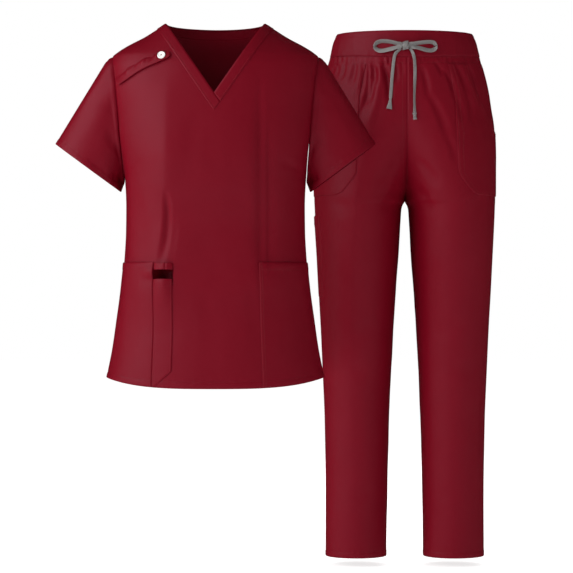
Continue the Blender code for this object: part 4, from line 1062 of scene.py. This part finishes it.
def make_neckbands():
    across = spaced([0, 0.04, 0.09, 0.15, 0.2, 0.88, 0.94, 0.98, 1], 0.1)
    along = edged(2.4, BAND_LENGTH)
    pieces = []
    for half, name in ((-1, "band_left"), (1, "band_right")):
        a, c = mesh_grid(along, across)
        pieces.append(shell(name, [band_front_at(half, a, c)], away(0, -1, 0.2), 1.4, SCRUB))
    around = edged(2.4, 2 * BACK_BAND_HALF) * 2 - 1
    a, c = mesh_grid(around, across)
    pieces.append(shell("band_back", [band_back_at(a, c)], away(0, 1, 0.2), 1.3, SCRUB))
    return pieces


# Pockets of the top: x of an edge at the pockets' top and at the hem.
LEFT_EDGE = (-106.2, -114.0)
PEN_EDGE = (-72.6, -77.6)
RIGHT_EDGE = (80.5, 88.5)
PEN_TOP = -480.6
PEN_CORNER = -648
LOOP_TOP = -450.5
LOOP_FOOT = -463.5
FACING = 15.5               # depth of a pocket's turned and sewn top


def pocket_x(edge, z):
    share = np.clip((POCKET_TOP - z) / (POCKET_TOP - TOP_HEM), 0, 1)
    return edge[0] + (edge[1] - edge[0]) * share


def patch_form(from_top, from_sides, top_depth, along, seed):
    """A patch laid on a panel: a doubled top with a sewn line and turned-in edges."""
    height = hem_form(from_top, along, top_depth, seed)
    height = height + seam_edge(from_sides, 1.0, 1.5)
    return height - 0.25 * bell(from_sides - 2.4, 1.5)


def side_pocket_at(half, share, t, extra=0):
    """Points of a patch pocket: share from its inner edge to the side seam, t as in front_at."""
    edge = LEFT_EDGE if half < 0 else RIGHT_EDGE
    level = hem_level(share * 200, t)
    for _ in range(3):
        x = np.abs(pocket_x(edge, level)) * (1 - share) + side_width(level) * share
        level = hem_level(x, t)
    around = half * x
    slack = 2.6 * ramp(POCKET_TOP - t, -2, 6) * (1 - ramp(POCKET_TOP - t, 20, 90)) * np.sin(pi * share) ** 0.8
    sides = np.minimum(share, 1 - share) * (side_width(level) - np.abs(pocket_x(edge, level)))
    form = patch_form(POCKET_TOP - t, sides, FACING, around, 50 + half)
    hem = hem_form(t - TOP_HEM, around, seed=1 + (half > 0))
    if half < 0:
        slack = slack + 4.6 * bell(level + 468, 17) * (1 - ramp(-around, 106, 136))
    return torso(around, level, -1, 1.5 + form + hem + slack + extra) - np.array([0, SEAM, 0])


def pen_pocket_at(share, down, extra=0):
    """Points of the pen pocket: share across it, down from its top to its slanted foot."""
    foot_left = hem_level(-117.0, -661.2)
    foot = foot_left + 0.4 + (PEN_CORNER - foot_left) * np.clip((share - 0.16) / 0.84, 0, 1)
    z = PEN_TOP + (foot - PEN_TOP) * down
    x = (pocket_x(LEFT_EDGE, z) + 0.5) * (1 - share) + pocket_x(PEN_EDGE, z) * share
    slack = 4.6 * (1 - ramp(PEN_TOP - z, 2, 60)) * np.sin(pi * share) ** 0.8
    sides = np.minimum(share, 1 - share) * 34
    form = patch_form(PEN_TOP - z, np.minimum(sides, z - foot), 14.5, x, 54)
    return torso(x, z, -1, 1.6 + form + slack + extra) - np.array([0, SEAM, 0])


def make_top_pockets():
    made = []
    rows = spaced([POCKET_TOP, POCKET_TOP - 0.6, POCKET_TOP - 1.6, POCKET_TOP - 3, POCKET_TOP - 13,
                   POCKET_TOP - 14.5, POCKET_TOP - 15.5, POCKET_TOP - 17, -600, TOP_HEM + 13, TOP_HEM + 11,
                   TOP_HEM + 9, TOP_HEM + 3, TOP_HEM + 1.2, TOP_HEM + 0.2], 3.2)
    shares = edged(3.0, 95)
    t, share = mesh_grid(rows, shares)
    for half, name in ((-1, "pocket_left"), (1, "pocket_right")):
        made.append(shell(name, [side_pocket_at(half, share, t)], away(0, -1, 0), 0.8, SCRUB))
    down = spaced([0, 0.003, 0.009, 0.07, 0.078, 0.085, 0.095, 0.97, 0.99, 0.997, 1], 0.016)
    across = edged(2.4, 34, close=(0.8, 1.6, 2.6))
    d, share = mesh_grid(down, across)
    made.append(shell("pocket_pen", [pen_pocket_at(share, d)], away(0, -1, 0), 0.8, SCRUB))
    return made


def loop_at(share, down, extra=0):
    """Points of the cloth loop: share across it, down from its upper edge."""
    z = LOOP_TOP + (LOOP_FOOT - LOOP_TOP) * down
    x = (LEFT_EDGE[0] + 1) * (1 - share) + PEN_EDGE[0] * share
    arch = 5.4 * np.clip(np.sin(pi * share), 0, 1) ** 0.7 + 1.2 * down
    edge = np.minimum(down, 1 - down) * 13
    folded = 0.5 - 0.8 * (1 - ramp(edge, 0, 1.4)) - 0.2 * bell(edge - 2, 1.2)
    fold = -1.2 * bell(share - 0.66, 0.07)
    return torso(x, z, -1, 1.3 + arch + folded + fold + extra)


def make_loop():
    share, down = mesh_grid(np.linspace(0, 1, 41), spaced([0, 0.05, 0.12, 0.88, 0.95, 1], 0.09))
    return shell("loop", [loop_at(share, down)], away(0, -1, 0), 0.9, SCRUB)


STRAP = (                   # x, level, half width of the strap along its middle line
    (-178.5, -114.5, 8.5), (-163, -105, 9), (-145, -92.5, 9.5), (-124, -82, 9.5), (-104, -74, 9.5),
    (-93, -69.3, 9.2), (-86, -67.8, 8), (-81.5, -67, 5), (-79.6, -66.8, 2),
)
strap_x, strap_z, strap_half = [smooth_curve(np.linspace(0, 1, len(STRAP)), column) for column in zip(*STRAP)]
STRAP_PUCKERS = (           # place along the strap, height
    (0.16, 1.6), (0.25, -1.0), (0.34, 2.4), (0.42, -1.6), (0.49, 2.6), (0.56, -1.4), (0.64, 1.8),
    (0.72, -0.9),
)


def strap_at(along, across, extra=0):
    """Points of the shoulder strap: across from its lower edge, -1, to the upper one, 1."""
    x = strap_x(along)
    z = strap_z(along)
    run = strap_x(np.clip(along + 0.01, 0, 1)) - strap_x(np.clip(along - 0.01, 0, 1))
    rise = strap_z(np.clip(along + 0.01, 0, 1)) - strap_z(np.clip(along - 0.01, 0, 1))
    size = np.hypot(run, rise)
    half = strap_half(along)
    place_x = x - rise / size * across * half
    place_z = z + run / size * across * half
    edge = (1 - np.abs(across)) * half
    puckers = 0
    for middle, tall in STRAP_PUCKERS:
        puckers = puckers + tall * bell(along - middle - 0.03 * across, 0.036)
    lifted = 3.6 * (0.5 - 0.5 * across) * (1 - 0.5 * ramp(along, 0.86, 0.96))
    soft = -1.6 * ramp(across, 0.2, 1.0) * (1 - ramp(along, 0.74, 0.86))
    height = 1.4 + lifted + soft + puckers * ramp(across, -0.7, 0.5) * (1 - ramp(across, 0.9, 1.0))
    height = height + seam_edge(edge, 0.8, 1.5) - 0.25 * bell(edge - 2.4, 1.3)
    return torso(place_x, place_z, -1, height + extra)


def make_strap():
    along = spaced([0, 0.9, 1], 0.0085)
    across = spaced([-1, -0.93, -0.82, -0.7, 0.7, 0.82, 0.93, 1], 0.13)
    a, c = mesh_grid(along, across)
    return shell("strap", [strap_at(a, c)], away(0, -1, 0.3), 0.9, SCRUB)


# ---------------------------------------------------------------- the trousers
def make_legs():
    made = {}
    top = WAIST_SEAM_SIDE - WAIST_SEAM_DIP
    rows = np.concatenate([
        spaced([top, top - CASING, -110, -160], 2.2),
        spaced([-160, -240, -345], 3.2)[1:],
        spaced([-345, LEG_HEM + 30], 6.5)[1:],
        spaced([LEG_HEM + 30] + [LEG_HEM + rise for rise in reversed(HEM_RISES)], 3.5)[1:]])
    for side, word in ((-1, "front"), (1, "back")):
        shares = edged(2.7 if side < 0 else 3.3, 250)
        for leg, hand in ((-1, "left"), (1, "right")):
            t, share = mesh_grid(rows, shares)
            x = WAIST_HALF * np.cos(share * pi / 2)
            seam = waist_seam(x)
            z = t + (seam - top) * (1 - ramp(-t, 60, 130)) - SEAM * (t > top - 0.01)
            angle = share * inner_angle(z)
            grid = leg_at(angle, z, leg, side)
            grid[:, -1, 0] = np.where(z[:, -1] > CROTCH + 0.5, TROUSERS_X - leg * 0.3, grid[:, -1, 0])
            name = "leg_%s_%s_cloth" % (word, hand)
            made[name] = shell(name, [grid], away(0, side, 0), CLOTH_THICKNESS, SCRUB)
    return made


def waistband_at(angle, rise, extra=0):
    """Points of the waistband: angle round it, rise from its seam, 0, to the top edge, 1."""
    low = waist_seam(WAIST_HALF * np.cos(angle)) + 2 * SEAM
    z = low + (WAIST_TOP - low) * rise
    front = np.sin(angle) > 0
    depth = np.where(front, leg_front_depth(z), leg_back_depth(z))
    normal = unit(np.stack([np.cos(angle) / leg_outer(z), -np.sin(angle) / depth, 0 * angle], -1))
    point = np.stack([leg_outer(z) * np.cos(angle), -depth * np.sin(angle), z], -1)
    around = angle * 125
    up = (z - low)
    down = WAIST_TOP - z
    height = 0.5 - 1.4 * (1 - ramp(down, 0, 3)) - 1.0 * (1 - ramp(up, 0, 2))
    height = height + 0.25 * ripples(around, z * 0.4, 26, 60) + 0.35 * ripples(around, z * 0.15, 9, 61) * (
        1 - ramp(up, 2, 16))
    height = height - 0.3 * bell(down - 9, 1.8) * 0.6
    return point + normal * (height + extra)[..., None] + np.array([TROUSERS_X, TROUSERS_Y, 0])


def make_waistband():
    angle = np.linspace(0, 2 * pi, 301)[:-1]
    rise = spaced([0, 0.02, 0.05, 0.1, 0.78, 0.8, 0.82, 0.93, 0.97, 1], 0.05)
    r, a = mesh_grid(rise, angle)
    centre = np.array([TROUSERS_X, TROUSERS_Y, 0])
    return shell("waistband_cloth", [waistband_at(a, r)],
                 lambda middle: (middle - centre) * np.array([1, 1, 0]), 2.0, RIB, closed=True)


# Hip pocket: x of its inner and outer edges from the trousers' middle at each level.
HIP_POCKET = (
    (-71, 77.6, 115.5), (-96, 84.5, 122.8), (-132, 90.5, 134), (-190, 92.5, 165.5), (-232, 94.5, 200),
    (-278, 96.5, 200), (-288, 102, 200), (-314, 123, 200), (-319.5, 136, 200), (-320, 137, 200),
)
HIP_FOOT = -320


def hip_edges(z):
    levels = [row[0] for row in HIP_POCKET][::-1]
    inner = np.interp(z, levels, [row[1] for row in HIP_POCKET][::-1])
    outer = np.interp(z, levels, [row[2] for row in HIP_POCKET][::-1])
    return inner, outer


def hip_pocket_at(leg, share, z, extra=0):
    inner, outer = hip_edges(z)
    first = leg_angle(inner, z)
    last = leg_angle(np.minimum(outer, leg_outer(z)), z)
    angle = first + (last - first) * share
    half = leg_round(z)[1]
    inside = (first - angle) * half
    mouth = (angle - last) * half
    slanted = outer < leg_outer(z)
    foot = z - HIP_FOOT
    sides = np.minimum(inside, foot)
    height = seam_edge(sides, 1.0, 1.5) - 0.25 * bell(sides - 2.4, 1.4) - 0.2 * bell(sides - 8, 1.4)
    open_edge = 0.4 - 0.8 * (1 - ramp(mouth, 0, 1.4)) - 0.3 * bell(mouth - 6, 1.6)
    gape = 2.4 * (1 - ramp(mouth, 0, 40)) * bell(z + 130, 60)
    height = height + np.where(slanted, open_edge + gape, seam_edge(mouth, 0.8, 1.5))
    return leg_at(angle, z, leg, -1, 1.5 + height + extra)


def make_hip_pockets():
    rows = spaced([-71, -72, -73.5, -96, -132, -190, -278, -314, -317, -318.8, HIP_FOOT], 3.4)
    z, share = mesh_grid(rows, edged(3.0, 80))
    made = []
    for leg, name in ((-1, "hip_left"), (1, "hip_right")):
        made.append(shell(name, [hip_pocket_at(leg, share, z)], away(leg * 0.3, -1, 0), 0.8, SCRUB))
    return made


CARGO_TOP = -357
CARGO_FOOT = -513
CARGO_FRONT = math.radians(26)
CARGO_BACK = math.radians(52)


def cargo_at(share, z, extra=0):
    """Points of the cargo pocket: share from its front edge round the outer seam to its back edge."""
    turn = CARGO_FRONT - (CARGO_FRONT + CARGO_BACK) * share
    width = 80 * (CARGO_FRONT + CARGO_BACK)
    sides = np.minimum(np.minimum(share, 1 - share) * width, z - CARGO_FOOT)
    slack = 0.9 * (1 - ramp(CARGO_TOP - z, 10, 90)) * np.sin(pi * share)
    height = 0.9 + patch_form(CARGO_TOP - z, sides, 19, share * width, 70) + slack + extra
    front = leg_at(np.abs(turn), z, -1, -1, height)
    back = leg_at(np.abs(turn), z, -1, 1, height)
    return np.where((turn >= 0)[..., None], front, back)


def make_cargo():
    rows = spaced([CARGO_TOP, CARGO_TOP - 0.6, CARGO_TOP - 1.6, CARGO_TOP - 16, CARGO_TOP - 18,
                   CARGO_TOP - 19, CARGO_TOP - 20.5, CARGO_FOOT + 2.6, CARGO_FOOT + 1.2, CARGO_FOOT], 3.2)
    z, share = mesh_grid(rows, edged(2.6, 108))
    return shell("cargo", [cargo_at(share, z)], away(-1, 0, 0), 0.8, SCRUB)


# ---------------------------------------------------------------- stitches
class Stitches:
    """Rows of short stitches gathered into one mesh."""

    def __init__(self):
        self.points = []
        self.faces = []

    def row(self, points, pitch=3.0, length=2.2, radius=0.27):
        """Lay stitches along a line of points that already stand a little off the cloth."""
        points = np.asarray(points, float)
        along = distances(points)
        count = int(along[-1] // pitch)
        if count < 1:
            return
        start = (np.arange(count) + 0.5) * along[-1] / count - length / 2
        first, middle, last = (points_at(start + shift, along, points)
                               for shift in (0.0, 0.5 * length, length))
        tangent = unit(last - first)
        side = unit(np.cross(tangent, np.array([0.31, -0.87, 0.38])))
        up = np.cross(side, tangent)
        base = len(self.points) and sum(len(p) for p in self.points)
        shape = []
        for centre, size in ((first, 0.35), (middle, 1.0), (last, 0.35)):
            for a, b in ((1, 0), (0, 1), (-1, 0), (0, -1)):
                shape.append(centre + (side * a + up * b) * radius * size)
        shape = np.stack(shape, 1)
        quads = []
        for ring in (0, 4):
            for i in range(4):
                j = (i + 1) % 4
                quads.append((ring + i, ring + j, ring + 4 + j, ring + 4 + i))
        quads.append((3, 2, 1, 0))
        quads.append((8, 9, 10, 11))
        quads = np.array(quads)[None] + (np.arange(count) * 12)[:, None, None] + base
        self.points.append(shape.reshape(-1, 3))
        self.faces.append(quads.reshape(-1, 4))

    def build(self, name):
        obj = make_object(name, np.concatenate(self.points), np.concatenate(self.faces).tolist(), THREAD)
        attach(obj, "root")


OFF = 0.12                  # how far a stitch's middle stands off the cloth


def stitch_top():
    rows = Stitches()
    for half in (-1, 1):
        edge = LEFT_EDGE if half < 0 else RIGHT_EDGE
        limit = abs(pocket_x(edge, TOP_HEM)) / HEM_HALF
        rows.row(front_at(half, np.linspace(0.002, limit - 0.01, 300), TOP_HEM + HEM_LINE, OFF))
        rows.row(side_pocket_at(half, np.linspace(0.03, 0.97, 300), TOP_HEM + HEM_LINE, OFF))
        rows.row(side_pocket_at(half, np.linspace(0.03, 0.97, 300), POCKET_TOP - FACING + 1.0, OFF))
        width = HEM_HALF - abs(edge[1])
        rows.row(side_pocket_at(half, 2.4 / width, np.linspace(POCKET_TOP - 1, TOP_HEM + 1, 300), OFF))
        outer = np.linspace(-86, -286, 300)
        level = outer_level_inverse(outer)
        rows.row(front_at(half, 1 - 5.5 / 180, level, OFF))
        rows.row(band_front_at(half, np.linspace(0.01, 0.995, 400), np.full(400, 2.6 / BAND_WIDTH), OFF))
    rows.row(side_pocket_at(1, 6.6 / 112, np.linspace(POCKET_TOP - 1, TOP_HEM + 1, 300), OFF))
    rows.row(back_at(np.linspace(-0.985, 0.985, 600), TOP_HEM + HEM_LINE, OFF))
    rows.row(band_back_at(np.linspace(-0.99, 0.99, 400), np.full(400, 2.6 / BAND_WIDTH), OFF))
    down = np.linspace(0.002, 0.985, 300)
    rows.row(pen_pocket_at(2.4 / 34 + 0 * down, down, OFF))
    rows.row(pen_pocket_at(1 - 2.4 / 34 + 0 * down, down, OFF))
    rows.row(pen_pocket_at(np.linspace(0.08, 0.92, 60), 13.5 / 175 + np.zeros(60), OFF))
    across = np.linspace(0.08, 0.92, 60)
    for d in (0.2, 0.8):
        rows.row(loop_at(across, d + 0 * across, OFF), pitch=2.6, length=1.9, radius=0.22)
    along = np.linspace(0.01, 0.965, 300)
    for edge_side in (-1, 1):
        rows.row(strap_at(along, edge_side * (1 - 2.4 / 9.2) + 0 * along, OFF))
    rows.build("stitches_top")


def outer_level_inverse(levels):
    """The t of front_at whose side edge is at these levels."""
    t = np.linspace(TOP_HEM, NECK_LEVEL, 3000)
    return np.interp(levels, outer_level(t), t)


def stitch_sleeves():
    rows = Stitches()
    turn = np.concatenate([np.linspace(0, pi, 240), np.linspace(pi, 2 * pi, 240)[1:-1]])
    for half in (-1, 1):
        line = sleeve_at(half, turn, 1 - HEM_LINE / 128 + 0 * turn, OFF)
        rows.row(np.concatenate([line, line[:1]]))
    rows.build("stitches_sleeves")


def stitch_trousers():
    rows = Stitches()
    z = np.linspace(-66, CROTCH + 8, 400)
    rows.row(leg_at(inner_angle(z) - 9.3 / leg_round(z)[1], z, -1, -1, OFF))
    rows.row(leg_at(inner_angle(z) - 2.6 / leg_round(z)[1], z, 1, -1, OFF))
    rows.row(leg_at(inner_angle(z) - 3.0 / leg_round(z)[1], z, -1, 1, OFF))
    for leg in (-1, 1):
        for side in (-1, 1):
            turn = np.linspace(0.03, 0.985, 300)
            for drop in (CASING, 2.6):
                level = waist_seam(WAIST_HALF * np.cos(turn * pi / 2)) - drop
                rows.row(leg_at(turn * inner_angle(level), level, leg, side, OFF + 0.1))
            level = np.full(300, LEG_HEM + HEM_LINE)
            rows.row(leg_at(turn * pi, level, leg, side, OFF))
        z = np.linspace(-72, LEG_HEM + 2, 900)
        rows.row(leg_at(3.0 / leg_round(z)[1], z, leg, 1, OFF))
        z = np.linspace(-73, HIP_FOOT + 2.6, 300)
        inner, outer = hip_edges(z)
        rows.row(hip_pocket_at(leg, 2.6 / (outer - inner), z, OFF))
        rows.row(hip_pocket_at(leg, 8.4 / (outer - inner), z, OFF))
        z = np.linspace(-73, -205, 160)
        inner, outer = hip_edges(z)
        for inset in (2.2, 8.0):
            rows.row(hip_pocket_at(leg, 1 - inset / np.minimum(outer - inner, leg_outer(z) - inner), z, OFF))
        across = np.linspace(0.06, 0.97, 120)
        rows.row(hip_pocket_at(leg, across, HIP_FOOT + 2.6 + 0 * across, OFF))
    down = np.linspace(CARGO_TOP - 1, CARGO_FOOT + 2.6, 200)
    across = np.linspace(0.026, 0.974, 200)
    for inset in (0.026, 0.974):
        rows.row(cargo_at(inset + 0 * down, down, OFF))
    rows.row(cargo_at(across, CARGO_FOOT + 2.6 + 0 * across, OFF))
    rows.row(cargo_at(across, CARGO_TOP - 18 + 0 * across, OFF))
    rows.build("stitches_trousers")


def make_button():
    """Four-hole button with a rolled rim, sewn on with crossed thread."""
    place = np.array(BUTTON_PLACE, float)
    point = torso(place[0], place[1], -1, 0)
    ahead = torso(place[0] + 1, place[1], -1, 0) - torso(place[0] - 1, place[1], -1, 0)
    rise = torso(place[0], place[1] + 1, -1, 0) - torso(place[0], place[1] - 1, -1, 0)
    normal = unit(np.cross(rise, ahead))
    normal = normal * (1 if normal[1] < 0 else -1)
    right = unit(np.cross(normal, np.array([0, 0, 1.0])))
    up = np.cross(right, normal)
    base = point + normal * BUTTON_BASE
    profile = ((5.9, 0.0), (6.7, 0.15), (7.25, 0.55), (7.5, 1.1), (7.42, 1.6), (7.1, 2.05), (6.6, 2.3),
               (6.1, 2.36), (5.6, 2.2), (5.2, 1.85), (4.9, 1.62), (4.4, 1.52), (3.2, 1.5))
    sides = 64
    turn = np.arange(sides) * 2 * pi / sides
    circle = right * np.cos(turn)[:, None] + up * np.sin(turn)[:, None]
    rings = [base + normal * h + circle * r for r, h in profile]
    points = np.concatenate(rings + [[base], [base + normal * 1.5]])
    faces = grid_quads(len(profile), sides, True).tolist()
    low = len(points) - 2
    high = len(points) - 1
    last = (len(profile) - 1) * sides
    for i in range(sides):
        j = (i + 1) % sides
        faces.append([j, i, low])
        faces.append([last + i, last + j, high])
    obj = make_object("button", points, faces, BUTTON)
    cutters = []
    for dx, dz in ((-1, -1), (1, -1), (1, 1), (-1, 1)):
        middle = base + right * dx * 1.55 + up * dz * 1.55
        ring = np.arange(20) * 2 * pi / 20
        loop = right * np.cos(ring)[:, None] * 0.85 + up * np.sin(ring)[:, None] * 0.85
        cut_points = np.concatenate([middle - normal + loop, middle + normal * 4 + loop])
        cut_faces = [[i, (i + 1) % 20, 20 + (i + 1) % 20, 20 + i] for i in range(20)]
        cut_faces.append(list(range(20))[::-1])
        cut_faces.append(list(range(20, 40)))
        cutters.append(make_object("cutter", cut_points, cut_faces, BUTTON))
    for cutter in cutters:
        change = obj.modifiers.new("hole", "BOOLEAN")
        change.operation = "DIFFERENCE"
        change.solver = "EXACT"
        change.object = cutter
        cut_mesh = bpy.data.meshes.new_from_object(obj.evaluated_get(bpy.context.evaluated_depsgraph_get()))
        obj.modifiers.clear()
        obj.data = cut_mesh
    for cutter in cutters:
        bpy.data.objects.remove(cutter)
    obj.data.shade_smooth()
    obj.data.set_sharp_from_angle(angle=math.radians(40))
    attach(obj, "root")
    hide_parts("strap_button")
    threads_held = Stitches()
    for shift in (-0.22, 0.0, 0.22):
        for sign in (-1, 1):
            run = []
            for t in np.linspace(-1, 1, 13):
                off = normal * (1.72 - 0.9 * max(0.0, abs(t) - 0.86) * 7 + 0.12 * (sign > 0))
                run.append(base + off + right * (t * 1.6 + shift) + up * (sign * t * 1.6 - sign * shift))
            threads_held.row(run, pitch=4.4, length=4.3, radius=0.2)
    threads_held.build("button_thread")


BUTTON_PLACE = (-96, -71)
BUTTON_BASE = 3.1           # the button's underside off the top's front

# ---------------------------------------------------------------- all pieces
legs = make_legs()
front_band_left, front_band_right, back_band = make_neckbands()
left_pocket, right_pocket, pen_pocket = make_top_pockets()
left_hip, right_hip = make_hip_pockets()
SHEETS = (                  # piece, node, width, length and area of its cut, in metres
    (make_top_front(), "top_front", 0.540, 0.680, 0.290),
    (make_top_back(), "top_back", 0.545, 0.700, 0.297),
    (make_sleeve(-1, "sleeve_left_cloth"), "sleeve_left", 0.539, 0.195, 0.0464),
    (make_sleeve(1, "sleeve_right_cloth"), "sleeve_right", 0.539, 0.195, 0.0464),
    (front_band_left, "neckband_left", 0.021, 0.255, 0.0051),
    (front_band_right, "neckband_right", 0.021, 0.234, 0.0047),
    (back_band, "neckband_back", 0.024, 0.318, 0.0067),
    (left_pocket, "top_pocket_left", 0.158, 0.231, 0.0314),
    (right_pocket, "top_pocket_right", 0.185, 0.231, 0.0372),
    (pen_pocket, "pen_pocket", 0.042, 0.197, 0.0071),
    (make_loop(), "pocket_loop", 0.042, 0.0135, 0.00054),
    (make_strap(), "shoulder_strap", 0.025, 0.134, 0.0027),
    (make_waistband(), "waistband", 0.800, 0.052, 0.0380),
    (legs["leg_front_left_cloth"], "leg_front_left", 0.327, 1.007, 0.2340),
    (legs["leg_front_right_cloth"], "leg_front_right", 0.327, 1.007, 0.2340),
    (legs["leg_back_left_cloth"], "leg_back_left", 0.345, 1.017, 0.2400),
    (legs["leg_back_right_cloth"], "leg_back_right", 0.345, 1.017, 0.2400),
    (left_hip, "hip_pocket_left", 0.156, 0.303, 0.0271),
    (right_hip, "hip_pocket_right", 0.156, 0.303, 0.0271),
    (make_cargo(), "cargo_pocket", 0.161, 0.158, 0.0227),
)
for piece, node, width, length, area in SHEETS:
    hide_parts(node)
stitch_top()
stitch_sleeves()
stitch_trousers()
make_button()


# ---------------------------------------------------------------- studio
CENTRE = Vector((0.12, 0.0, -0.5))


def softbox(name, azimuth, elevation, distance, size, power, glossy=True):
    """Area light that faces the garments; azimuth is from their front, positive to the right."""
    a = math.radians(azimuth)
    e = math.radians(elevation)
    way = Vector((math.sin(a) * math.cos(e), -math.cos(a) * math.cos(e), math.sin(e)))
    light = bpy.data.lights.new(name, "AREA")
    light.shape = "RECTANGLE"
    light.size = size[0]
    light.size_y = size[1]
    light.energy = power
    obj = bpy.data.objects.new(name, light)
    obj.location = CENTRE + way * distance
    obj.rotation_euler = (-way).to_track_quat("-Z", "Y").to_euler()
    obj.visible_camera = False
    obj.visible_glossy = glossy
    scene.collection.objects.link(obj)
    return obj


def only_for(light, receivers, blockers=()):
    """The light falls on these pieces alone and, where blockers are named, only they shade it."""
    group = bpy.data.collections.new(light.name + " on")
    for obj in receivers:
        group.objects.link(obj)
    light.light_linking.receiver_collection = group
    if blockers:
        shade = bpy.data.collections.new(light.name + " shaded by")
        for obj in blockers:
            shade.objects.link(obj)
        light.light_linking.blocker_collection = shade


key = softbox("key", -62, 24, 2.7, (2.0, 2.4), 62)
key_trousers = softbox("key for the trousers", -62, 24, 2.7, (2.0, 2.4), 62)
key_trousers.location += Vector((0.24, 0.17, 0))
softbox("fill", 40, 10, 3.2, (2.4, 2.4), 9, glossy=False)
softbox("back", 168, 28, 3.0, (2.6, 2.2), 40, glossy=False)

world = bpy.data.worlds.new("studio")
world.use_nodes = True
scene.world = world
tree = world.node_tree
tree.nodes.clear()
seen, lit = (add_node(tree, "ShaderNodeBackground", 0, Color=(1, 1, 1, 1), Strength=strength)
             for strength in (1.0, 0.36))
mix = tree.nodes.new("ShaderNodeMixShader")
for socket, value in zip(mix.inputs, (add_node(tree, "ShaderNodeLightPath", "Is Camera Ray"), lit, seen)):
    put(tree, socket, value)
connect(tree, tree.nodes.new("ShaderNodeOutputWorld"), Surface=mix.outputs[0])
world.cycles_visibility.glossy = False


def floor_material():
    material, tree, shader, where = material_parts("studio floor")
    grain = noise(tree, where, 40.0, 3.0)
    connect(tree, shader, Base_Color=mix_colours(tree, grain, (0.86, 0.86, 0.86), (0.88, 0.88, 0.88)),
            Roughness=0.9, Specular_IOR_Level=0.1, Emission_Color=(1, 1, 1, 1), Emission_Strength=0.74)
    return material


FLOOR = -1030.0
ring = np.arange(64) * 2 * pi / 64
floor_points = np.stack([120 + 14000 * np.cos(ring), 14000 * np.sin(ring), np.full(64, FLOOR)], -1)
floor = make_object("floor", floor_points, [list(range(64))], floor_material())
floor.visible_glossy = False

dressed = [o for o in scene.objects if o.type == "MESH" and o is not floor]
trousers = [o for o in dressed if min((o.matrix_world @ Vector(c)).y for c in o.bound_box) > 0.04]
only_for(key, [o for o in scene.objects if o.type == "MESH" and o not in trousers])
only_for(key_trousers, trousers, trousers)
